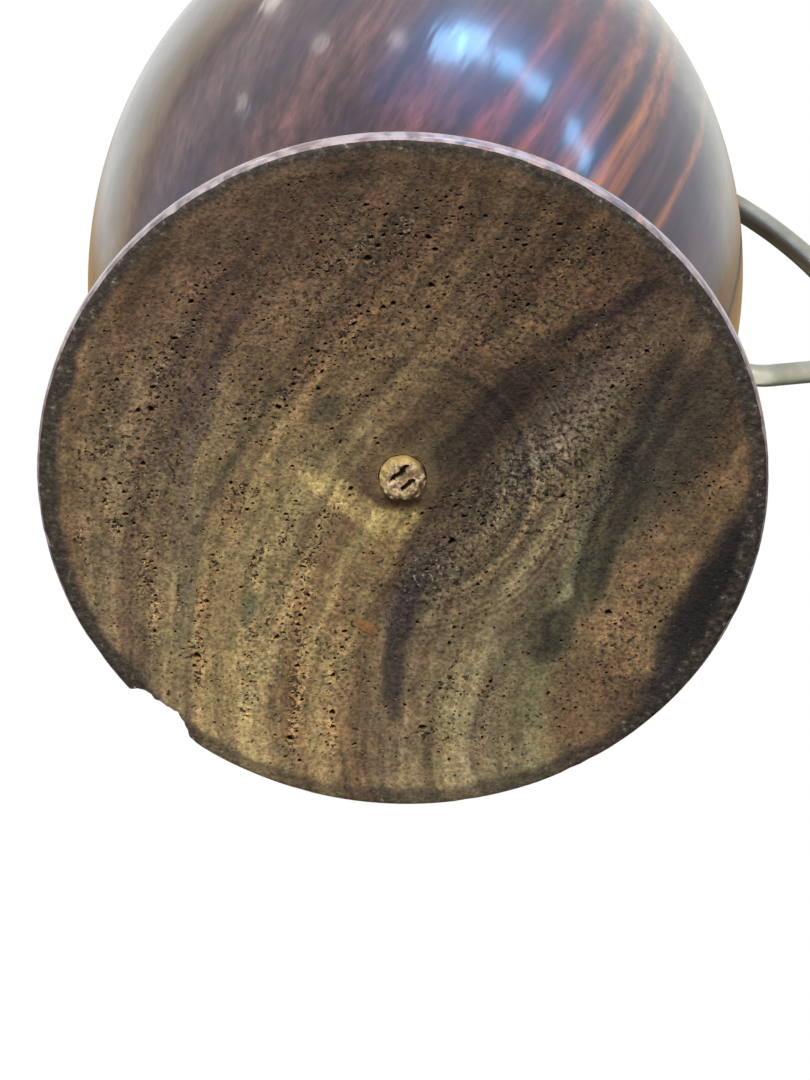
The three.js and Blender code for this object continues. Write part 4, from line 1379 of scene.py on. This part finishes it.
def chip_cutter():
    """A closed block whose inner wall is the broken face."""
    verts, faces = [], []
    for height in np.linspace(chip_low, chip_high, chip_rows):
        for azimuth in np.linspace(chip_azimuths[0], chip_azimuths[-1], chip_columns):
            angle = math.radians(azimuth)
            for radius in (chip_wall(azimuth, height), chip_outside):
                verts.append((radius * math.cos(angle), radius * math.sin(angle), height))

    def at(row, column, outer):
        return 2 * (row * chip_columns + column) + outer

    last_row, last = chip_rows - 1, chip_columns - 1
    for row in range(last_row):
        for c in range(last):
            faces.append((at(row, c, 0), at(row + 1, c, 0), at(row + 1, c + 1, 0), at(row, c + 1, 0)))
            faces.append((at(row, c, 1), at(row, c + 1, 1), at(row + 1, c + 1, 1), at(row + 1, c, 1)))
        faces.append((at(row, 0, 0), at(row, 0, 1), at(row + 1, 0, 1), at(row + 1, 0, 0)))
        faces.append((at(row, last, 0), at(row + 1, last, 0), at(row + 1, last, 1), at(row, last, 1)))
    for c in range(last):
        faces.append((at(0, c, 0), at(0, c + 1, 0), at(0, c + 1, 1), at(0, c, 1)))
        faces.append((at(last_row, c, 0), at(last_row, c, 1), at(last_row, c + 1, 1), at(last_row, c + 1, 0)))
    return verts, faces


print("the chip spans", round(chip_azimuths[-1] - chip_azimuths[0], 1), "degrees of the foot's edge")

# %% Drills for the studs, and seats for the washers
stud_radius = 1.5
stud_hole_radius = 1.75
seat_radius = 4.5
seat_depth = 0.3
upper_hole = belly_height + 62.1
lower_hole = belly_height - 26
drill_ends = (30.0, 70.0)
seat_drill_start = 10.0


def washer_seat(height):
    """How far from the axis the flat seat for a washer lies, inside the wall."""
    return max(hollow_radius(height - seat_radius), hollow_radius(height + seat_radius)) + seat_depth


def round_x(x, radius, turn, height):
    """A point on a circle round a line along X at a height."""
    return x, radius * math.sin(turn), height + radius * math.cos(turn)


def spun_along_x(profile_points, height, count, closed=True):
    """A profile of (radius, x), spun round a line along X: closed on itself, or with two end caps."""
    verts = [round_x(x, radius, turn, height) for radius, x in profile_points for turn in turns(count)]
    rows = len(profile_points)
    rings = [list(range(row * count, (row + 1) * count)) for row in range(rows)]
    faces = []
    for row in range(rows if closed else rows - 1):
        faces += ring_faces(rings[row], rings[(row + 1) % rows])
    if not closed:
        faces += [tuple(reversed(rings[0])), tuple(rings[-1])]
    return verts, faces


def drill(radius, ends, height, count):
    """A closed cylinder along X."""
    return spun_along_x([(radius, ends[0]), (radius, ends[1])], height, count, closed=False)


drills = []
for height in (upper_hole, lower_hole):
    drills.append(drill(stud_hole_radius, drill_ends, height, 40))
    drills.append(drill(seat_radius, (seat_drill_start, washer_seat(height)), height, 56))
print("holes at", round(upper_hole, 1), "and", round(lower_hole, 1), "mm above the floor")

# %% Cuts


def cut(piece, verts, faces):
    """Takes a closed mesh out of a piece, and removes the cutter."""
    cutter = make_object("cutter", verts, faces, [])
    modifier = piece.modifiers.new("cut", "BOOLEAN")
    modifier.operation = "DIFFERENCE"
    modifier.solver = "MANIFOLD"
    modifier.object = cutter
    seen_now = bpy.context.evaluated_depsgraph_get()
    result = bpy.data.meshes.new_from_object(piece.evaluated_get(seen_now))
    piece.modifiers.clear()
    old = piece.data
    piece.data = result
    result.name = old.name
    bpy.data.meshes.remove(old)
    bpy.data.objects.remove(cutter)


for cutter_mesh in [chip_cutter()] + drills:
    before = len(body.data.polygons)
    cut(body, *cutter_mesh)
    print("faces before and after a cut:", before, len(body.data.polygons))

# %% Broken faces get the split wood
chip_top = 6
chip_deepest = 51
chip_mouth = 54.6
wall_tolerance = 0.8
least_facing = 0.3


def is_broken(face):
    """Whether a face of the cut body belongs to the chip's broken wall."""
    x, y, z = face.center[0] / MM - axis_x, face.center[1] / MM, face.center[2] / MM
    azimuth, radius = math.degrees(math.atan2(y, x)), math.hypot(x, y)
    outward = (face.normal[0] * x + face.normal[1] * y) / radius
    if not (chip_azimuths[0] < azimuth < chip_azimuths[-1] and z < chip_top):
        return False
    if not chip_deepest < radius < chip_mouth or abs(outward) <= least_facing or face.material_index == BARE:
        return False
    return abs(radius - float(np.interp(azimuth, chip_azimuths, chip_radii))) < wall_tolerance


broken_faces = [face for face in body.data.polygons if is_broken(face)]
for face in broken_faces:
    face.material_index = SPLIT
body.data.set_sharp_from_angle(angle=math.radians(35))
print("faces of split wood:", len(broken_faces))
print("attributes kept:", [a.name for a in body.data.attributes if not a.is_internal])
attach(body, "root")
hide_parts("body")

# %% [markdown]
# ## The plug
# The hole left by the lathe's chuck is filled with a pale dowel that was cut by hand. It stands
# a little proud of the hollow, its side shows knife facets and its face has two short cuts.
# Boxwood is pale yellow and close-grained. Cut across, it shows ends of fibres and brown dirt in
# patches; its low places and cuts get painted shade, and its rim a painted yellow highlight on one side.

# %% Boxwood
plug_fibre_width = 0.5
plug_dirt_width = 2.2
recess_shade_start = 1.75
recess_shade_end = 2.4

plug_wood, tree = new_material("knife-cut boxwood")
metres = add(tree, "TexCoord", out=3)
place = add(tree, "VectorMath", {0: metres, 1: (1000, 1000, 1000)}, operation="MULTIPLY")
long = add(tree, "VectorMath", {0: place, 1: (1, 1, 0.15)}, operation="MULTIPLY")
fibre = add(tree, "TexNoise", {
    "Vector": long, "Scale": 1 / plug_fibre_width, "Detail": 4.0, "Roughness": 0.65})
colour = add(tree, "ValToRGB", {0: fibre}, stops=[(0.34, "#54402a"), (0.5, "#a58b66"), (0.66, "#e2d0ab")])
dirt = add(tree, "TexNoise", {"Vector": place, "Scale": 1 / plug_dirt_width, "Detail": 3.0})
dirt = add(tree, "MapRange", {0: dirt, 1: 0.46, 2: 0.62, 3: 0.0, 4: 0.8})
height = add(tree, "SeparateXYZ", {0: place}, out=2)
# Painted shade: the plug's low places and its two cuts are painted dark brown, darker the deeper they lie.
sunk = add(tree, "MapRange", {0: height, 1: recess_shade_start, 2: recess_shade_end, 3: 0.0, 4: 0.92})
flat = add(tree, "VectorMath", {0: place, 1: (1, 1, 0), 2: (-axis_x, 0, 0)}, operation="MULTIPLY_ADD")
outward = add(tree, "VectorMath", {0: flat}, out=1, operation="LENGTH")
upper = add(tree, "VectorMath", {0: flat, 1: from_picture(-0.7, 0.7, 0)}, out=1, operation="DOT_PRODUCT")
# Painted highlight: the rim is painted yellow, strongest on the side towards the picture's upper left, where
# the light comes from.
oiled = add(tree, "MapRange", {0: outward, 1: 2.4, 2: 3.4, 3: 0.0, 4: 0.6})
highlight_side = add(tree, "MapRange", {0: upper, 1: -0.8, 2: 1.6, 3: 0.15, 4: 1.0})
oiled = add(tree, "Math", {0: oiled, 1: highlight_side}, operation="MULTIPLY")
for mask, shade in ((dirt, "#5d4628"), (sunk, "#2a1c10"), (oiled, "#c8ad69")):
    colour = add(tree, "Mix", {0: mask, 6: colour, 7: shade}, **colour_mix)
bump = add(tree, "Bump", {"Height": fibre, "Distance": 0.25 * MM, "Strength": 0.9})
skin = add(tree, "BsdfPrincipled", {"Base Color": colour, "Roughness": 0.7, "Normal": bump})
add(tree, "OutputMaterial", {"Surface": skin})
print("nodes of the boxwood:", len(tree.nodes))

# %% The plug's face
plug_radius = 3.6
plug_face = 1.4
plug_length = 9
plug_cut_angle = math.radians(-54)
plug_cut_depth = 1.05
plug_cut_edge = 0.16
plug_cut_bend = 0.4
plug_cut_raggedness = 0.3
lump_height = 0.34
fine_lump_height = 0.12
# Each cut: how far it lies from the middle, the middle of its length, and its length.
plug_cuts = [(-1.2, 0.5, 4.2), (1.1, 0.25, 3.2)]


def slot_depth(x, y):
    """How deep the two ragged cuts are at a point of the plug's face, in mm."""
    along = x * math.cos(plug_cut_angle) + y * math.sin(plug_cut_angle)
    across = y * math.cos(plug_cut_angle) - x * math.sin(plug_cut_angle)
    deepest = 0.0
    for middle, centre, length in plug_cuts:
        bent = middle + plug_cut_bend * noise.noise(Vector((along / 1.1, middle, 3)))
        half = 0.5 * (1 - (2 * (along - centre) / length) ** 4)
        half += plug_cut_raggedness * smooth_noise(x, y, 7, 0.55)
        deepest = max(deepest, min(1.0, max(0.0, (half - abs(across - bent)) / plug_cut_edge)))
    return plug_cut_depth * deepest


def plug_face_height(x, y):
    """The broken, knife-cut face: uneven, ragged at its rim and cut twice."""
    share = math.hypot(x, y) / plug_radius
    lumps = lump_height * (smooth_noise(x, y, 6, 1.2) + 0.4) + fine_lump_height * smooth_noise(x, y, 1, 0.5)
    ragged = max(0.0, 0.5 + 1.3 * smooth_noise(x, y, 9, 0.8))
    fall = (0.5 + 0.6 * ragged) * max(0.0, share - 0.7) / 0.3
    return plug_face + max(0.0, lumps) + fall + slot_depth(x, y)


print("face", round(plug_face_height(0, 0), 2), "mm above the floor at its middle")

# %% Plug mesh
plug_sides = 72
plug_step = 0.13
plug_rows = 29
plug_jitter = 0.03
plug_rim_room = 0.93
plug_rim_share = 0.995
facet_depth = 0.035
nick_depth = 0.05
# Rings up the dowel's side: share of the radius, height.
plug_rings = [(1.0, 2.8), (1.0, 3.6), (1.0, 5.0), (1.0, 10.2), (0.94, 10.4)]


def plug_side(share, turn, height):
    """A point of the dowel's side, flattened where the knife went."""
    facet = facet_depth * abs(math.sin(turn * 4.5 + 0.6))
    nick = nick_depth * max(0.0, noise.noise(Vector((turn * 3, height, 2))))
    radius = plug_radius * share * (1 - (facet + nick))
    return radius * math.cos(turn), radius * math.sin(turn)


def plug_mesh():
    """A dowel with hand-cut facets and a broken face."""
    flat = [Vector(plug_side(1.0, turn, 0.0)) for turn in turns(plug_sides)]
    edges = [(i, (i + 1) % plug_sides) for i in range(plug_sides)]
    for row in range(-plug_rows, plug_rows + 1):
        for column in range(-plug_rows, plug_rows + 1):
            x = (column + 0.5 * (row % 2)) * plug_step + dice.uniform(-plug_jitter, plug_jitter)
            y = row * plug_step * grid_row_share + dice.uniform(-plug_jitter, plug_jitter)
            if math.hypot(x, y) < plug_radius * plug_rim_room:
                flat.append(Vector((x, y)))
    out, _, triangles, origins, _, _ = delaunay_2d_cdt(flat, edges, [], 0, 1e-6, True)
    verts = [(p[0], p[1], plug_face_height(p[0], p[1])) for p in out]
    faces = [tuple(reversed(face)) for face in triangles
             if sum((out[i] for i in face), Vector((0, 0))).length < 3 * plug_radius * plug_rim_share]
    place_of = {old: new for new, olds in enumerate(origins) for old in olds}
    previous = [place_of[i] for i in range(plug_sides)]
    for share, height in plug_rings:
        ring = list(range(len(verts), len(verts) + plug_sides))
        verts += [(*plug_side(share, turn, height), height) for turn in turns(plug_sides)]
        faces += ring_faces(previous, ring)
        previous = ring
    verts.append((0, 0, plug_face + plug_length))
    faces += [(previous[i], previous[(i + 1) % plug_sides], len(verts) - 1) for i in range(plug_sides)]
    return verts, faces


plug = make_object("plug_dowel", *plug_mesh(), [plug_wood], smooth_angle=40)
print("plug faces:", len(plug.data.polygons))
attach(plug, "root")
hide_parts("base_plug")

# %% [markdown]
# ## Metals
# The handle is one rod of a dull white metal such as nickel silver, rubbed to a satin sheen.
# The washers and nuts inside are plain brass that was never polished. Both get cloudy dull
# patches of about 6 mm, and scratches that are drawn 0.4 mm wide, coarser than real ones, to show.

# %% Satin nickel silver and dull brass
tarnish_width = 6
scratch_width = 0.4


def worn_metal(name, bright, dark, roughness, scratch):
    """A metal rubbed by hand: fine scratches and cloudy dull patches."""
    material, tree = new_material(name)
    metres = add(tree, "TexCoord", out=3)
    place = add(tree, "VectorMath", {0: metres, 1: (1000, 1000, 1000)}, operation="MULTIPLY")
    cloud = add(tree, "TexNoise", {
        "Vector": place, "Scale": 1 / tarnish_width, "Detail": 4.0, "Roughness": 0.6})
    spread = add(tree, "MapRange", {0: cloud, 1: 0.35, 2: 0.7, 3: 0.0, 4: 1.0})
    colour = add(tree, "Mix", {0: spread, 6: bright, 7: dark}, **colour_mix)
    fine = add(tree, "VectorMath", {0: place, 1: (1, 6, 1)}, operation="MULTIPLY")
    lines = add(tree, "TexNoise", {"Vector": fine, "Scale": 1 / scratch_width, "Detail": 3.0})
    dull = add(tree, "MapRange", {0: cloud, 1: 0.3, 2: 0.7, 3: roughness - 0.06, 4: roughness + 0.1})
    bump = add(tree, "Bump", {"Height": lines, "Distance": scratch * MM, "Strength": 0.6})
    skin = add(tree, "BsdfPrincipled", {
        "Base Color": colour, "Metallic": 1.0, "Roughness": dull, "Normal": bump})
    add(tree, "OutputMaterial", {"Surface": skin})
    print(name, "has", len(tree.nodes), "nodes")
    return material


nickel_silver = worn_metal("satin nickel silver", "#deddc9", "#bcbca6", 0.36, 0.02)
brass = worn_metal("dull brass", "#b9a067", "#8d7443", 0.4, 0.03)

# %% [markdown]
# ## The handle rod
# The rod leaves the upper hole, bows outwards and down past the belly, turns a corner and
# comes back to the lower hole. Its centreline is the CAD model's: straight ends, one cubic
# curve and two rounded corners. A thinner threaded stud at each end passes through the wall.
# The rings of points are spun along the centreline, so the threads are real geometry too.

# %% The rod's centreline
seat_gap = 0.3
collar_height = 1.5
collar_seat = 0.7
rod_top = 2.2
rod_bottom = 1.85
finger_room = 23
top_bend = 11.2
bottom_bend = 2.8
outermost_rise = 26
bow_rise = 30
lower_arm_slope = math.radians(35.3)


def collar_top(height):
    """How far from the axis a collar's outer end lies."""
    return outer_radius(height) + seat_gap + collar_height


def rod_radius(height):
    """The rod tapers a little from its upper end to its lower one."""
    share = (height - lower_hole) / (upper_hole - lower_hole)
    return rod_bottom + (rod_top - rod_bottom) * share


def rod_centreline():
    """Points of the rod between its two shoulders, as (x, z)."""
    upper = (collar_top(upper_hole), upper_hole)
    lower = (collar_top(lower_hole), lower_hole)
    reach = belly_radius + finger_room
    outermost = (reach, lower_hole + outermost_rise)
    bend = (lower[0] + bottom_bend, lower_hole)
    corner = (reach, lower_hole + (reach - bend[0]) * math.tan(lower_arm_slope))
    toward = np.array([bend[0] - corner[0], bend[1] - corner[1]])
    toward /= np.linalg.norm(toward)
    arm_start = tuple(np.array(corner) + toward * (outermost[1] - corner[1]))
    arm_end = tuple(np.array(bend) - toward * bottom_bend)
    shoulder = collar_seat - seat_gap
    points = [(upper[0] - shoulder, upper_hole), upper]
    points += bezier([upper, (upper[0] + top_bend, upper_hole),
                      (reach, outermost[1] + bow_rise), outermost], 64)
    points += bezier([outermost, corner, arm_start], 24)
    points += bezier([arm_start, arm_end], 12)
    points += bezier([arm_end, bend, lower], 12)
    return points + [(lower[0] - shoulder, lower_hole)]


centreline = rod_centreline()
print("the rod's centreline has", len(centreline), "points")

# %% Rod with threaded studs
washer_thickness = 0.8
nut_thickness = 2.4
stud_past_nut = 1.2
stud_stack = 2 * seat_gap + washer_thickness + nut_thickness + stud_past_nut
thread_pitch = 0.5
thread_depth = 0.28
thread_length = 6.5
thread_steps = 7
thread_runout = 0.6
thread_rings_end = 7.2
stud_chamfer = 0.25
stud_chamfer_length = 0.35
thread_start = 0.3
rod_sides = 32
hand_wear = 0.012
shoulder_chamfer = 0.06


def thread_radius(along, turn):
    """Radius of a stud: a fine screw thread, then smooth."""
    phase = (along / thread_pitch - turn / (2 * math.pi)) % 1
    groove = thread_depth * (1 - abs(2 * phase - 1))
    start = min(1.0, along / thread_start + 0.2)
    runout = start * min(1.0, max(0.0, (thread_length - along) / thread_runout))
    return stud_radius - groove * runout - stud_chamfer * max(0.0, 1 - along / stud_chamfer_length)


def rod_ring(x, z, tangent, radius_at):
    """A ring of points round the centreline, square to it."""
    ring = []
    for turn in turns(rod_sides):
        radius = radius_at(turn)
        flat, out = radius * math.cos(turn), radius * math.sin(turn)
        ring.append((x - tangent[1] * flat, out, z + tangent[0] * flat))
    return ring


def stud_rings(height, way):
    """Rings from a stud's end to its shoulder where way is 1, or back again where it is -1."""
    end = washer_seat(height) - stud_stack
    length = collar_top(height) - collar_seat + seat_gap - end
    steps = list(np.arange(0, thread_rings_end, thread_pitch / thread_steps)) + [length]
    return [rod_ring(end + along, height, (way, 0.0), lambda turn: thread_radius(along, way * turn))
            for along in steps[::way]]


def rod_rings():
    """Rings along the bent part of the rod, worn a little by hands."""
    rings = []
    last = len(centreline) - 1
    for i, (x, z) in enumerate(centreline):
        before, after = centreline[max(0, i - 1)], centreline[min(last, i + 1)]
        tangent = np.array([after[0] - before[0], after[1] - before[1]])
        tangent = tangent / np.linalg.norm(tangent)
        uneven = 1 - hand_wear * max(0.0, smooth_noise(x, z, 2, 7))
        edge = shoulder_chamfer if i in (0, last) else 0.0
        rings.append(rod_ring(x, z, tangent, lambda turn: rod_radius(z) * uneven - edge))
    return rings


rings = stud_rings(upper_hole, 1) + rod_rings() + stud_rings(lower_hole, -1)
verts = [point for ring in rings for point in ring]
numbers = [list(range(row * rod_sides, (row + 1) * rod_sides)) for row in range(len(rings))]
faces = [face for start, after in zip(numbers, numbers[1:]) for face in ring_faces(start, after)]
verts += [(washer_seat(height) - stud_stack, 0, height) for height in (upper_hole, lower_hole)]
for i in range(rod_sides):
    j = (i + 1) % rod_sides
    faces.append((numbers[0][j], numbers[0][i], len(verts) - 2))
    faces.append((numbers[-1][i], numbers[-1][j], len(verts) - 1))

rod = make_object("bent_rod", verts, faces, [nickel_silver])
print("rod:", len(rod.data.polygons), "faces")
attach(rod, "root")
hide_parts("handle")

# %% [markdown]
# ## Collars
# Where the rod meets the belly it stands in a domed collar, whose foot is filed to the
# curve of the wood. The collar is spun round the stud's line, and each of its points is kept
# at least a small gap off the wood.

# %% Collars fitted to the belly
collar_sides = 64
collar_radius = 4.0
collar_foot_lift = 0.2
collar_body_lift = 0.22
collar_groove = 0.1
socket_clearance = 0.2
socket_chamfer = 0.12


def wood_radius(height):
    """The wood's outer radius at any height from the belly to the rim."""
    if height <= shoulder_height:
        return outer_radius(height)
    curve = [(outer_radius(shoulder_height), shoulder_height)] + neck_outside
    return float(np.interp(height, [p[1] for p in curve], [p[0] for p in curve]))


def collar_mesh(height, socket_radius):
    """A domed collar. Its profile is (radius, least distance from the wood, x)."""
    top = collar_top(height)
    low = outer_radius(height) + seat_gap + 0.3 * collar_height
    seat = top - collar_seat
    foot = [(stud_hole_radius, 0.0), (2.8, 0.0), (3.8, 0.0), (collar_radius, collar_foot_lift)]
    groove_bottom = collar_radius - collar_groove
    groove = [(collar_radius, low - 0.3), (groove_bottom, low - 0.24), (groove_bottom, low - 0.16),
              (collar_radius, low - 0.1)]
    dome = [(collar_radius, low)] + bezier([(collar_radius, low), (collar_radius, top), (3.0, top)], 10)
    socket = [(socket_radius + socket_chamfer, top), (socket_radius, top - socket_chamfer),
              (socket_radius, seat), (stud_hole_radius, seat)]
    rows = [(radius, lift, 0.0) for radius, lift in foot]
    rows += [(radius, collar_body_lift, x) for radius, x in groove + dome + socket]
    verts = []
    for radius, lift, x in rows:
        for turn in turns(collar_sides):
            _, y, z = round_x(0.0, radius, turn, height)
            wall = math.sqrt((wood_radius(z) + seat_gap) ** 2 - y * y)
            verts.append((max(x, wall + lift), y, z))
    numbers = [list(range(row * collar_sides, (row + 1) * collar_sides)) for row in range(len(rows))]
    faces = [face for row in range(len(rows))
             for face in ring_faces(numbers[row], numbers[(row + 1) % len(rows)])]
    return verts, faces


collars = [("collar_top", upper_hole, "upper_collar"), ("collar_bottom", lower_hole, "lower_collar")]
for name, height, node in collars:
    collar = make_object(name, *collar_mesh(height, rod_radius(height) + socket_clearance), [nickel_silver])
    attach(collar, "root")
    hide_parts(node)
    print(name, "stands", round(collar_top(height) - outer_radius(height), 2), "mm off the belly")

# %% [markdown]
# ## Washers and nuts
# Inside the wall a washer and a hexagon nut pull each end of the rod tight. They are small
# and hardly seen, but they are pieces of the real thing, so they get their edges too: the
# washer's rim is rounded, and the nut's corners are chamfered on both faces.

# %% Washers and nuts
washer_radius = 4.0
washer_edge = 0.12
nut_sides = 72
nut_flat = 2.75
nut_round = 0.98 * nut_flat
nut_bore_chamfer = 0.22
nut_corner_slope = 0.55


def hexagon(turn):
    """How far from its middle a hexagon's outline lies."""
    return nut_flat / math.cos((turn % (math.pi / 3)) - math.pi / 6)


def nut_point(part, turn):
    """The radius of a part of the nut's profile, and how far it lies in from the nut's end."""
    if part == "bore":
        return stud_hole_radius, nut_bore_chamfer
    if part == "lead":
        return stud_hole_radius + nut_bore_chamfer, 0.0
    if part == "round":
        return nut_round, 0.0
    return hexagon(turn), (hexagon(turn) - nut_round) * nut_corner_slope


def nut_mesh(outer_x, height):
    """A hexagon nut with its corners chamfered on both faces."""
    parts = ["bore", "lead", "round", "corner"]
    rows = [(part, outer_x, -1) for part in parts]
    rows += [(part, outer_x - nut_thickness, 1) for part in reversed(parts)]
    verts, faces = [], []
    for part, end, way in rows:
        for turn in turns(nut_sides):
            radius, inset = nut_point(part, turn)
            verts.append(round_x(end + way * inset, radius, turn, height))
    for row in range(len(rows)):
        start, after = row * nut_sides, (row + 1) % len(rows) * nut_sides
        for i in range(nut_sides):
            j = (i + 1) % nut_sides
            faces.append((start + i, after + i, after + j, start + j))
    return verts, faces


for name, height, end in (("top", upper_hole, "upper"), ("bottom", lower_hole, "lower")):
    face = washer_seat(height) - seat_gap
    back = face - washer_thickness
    rim = washer_radius - washer_edge
    profile_points = [
        (stud_hole_radius, back), (rim, back), (washer_radius, back + washer_edge),
        (washer_radius, face - washer_edge), (rim, face), (stud_hole_radius, face)]
    washer_mesh = spun_along_x(profile_points, height, 56)
    washer = make_object("washer_" + name, *washer_mesh, [brass], smooth_angle=50)
    nut = make_object("nut_" + name, *nut_mesh(back - seat_gap, height), [brass], smooth_angle=25)
    for piece, node in ((washer, end + "_washer"), (nut, end + "_nut")):
        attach(piece, "root")
        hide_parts(node)
    print("washer and nut", name, "at", round(face, 2), "mm from the axis")

# %% [markdown]
# ## Windows on the belly only
# The windows' lamps are there for the belly's blue reflection. On the rod and the plug they
# would add blue light that the photograph doesn't show, so light linking keeps them to the body.

# %% Light linking
lit_by_windows = bpy.data.collections.new("lit by the windows")
lit_by_windows.objects.link(body)
for lamp in window_lamps:
    lamp.light_linking.receiver_collection = lit_by_windows
print("lamps linked to the body:", len(window_lamps))

# %% [markdown]
# The box of the finished pieces is printed, in metres. The finished pieces may not be
# larger than the CAD model.

# %% Sizes and finish
low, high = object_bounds()
print("visual box in metres:", [round(v, 5) for v in low], [round(v, 5) for v in high])
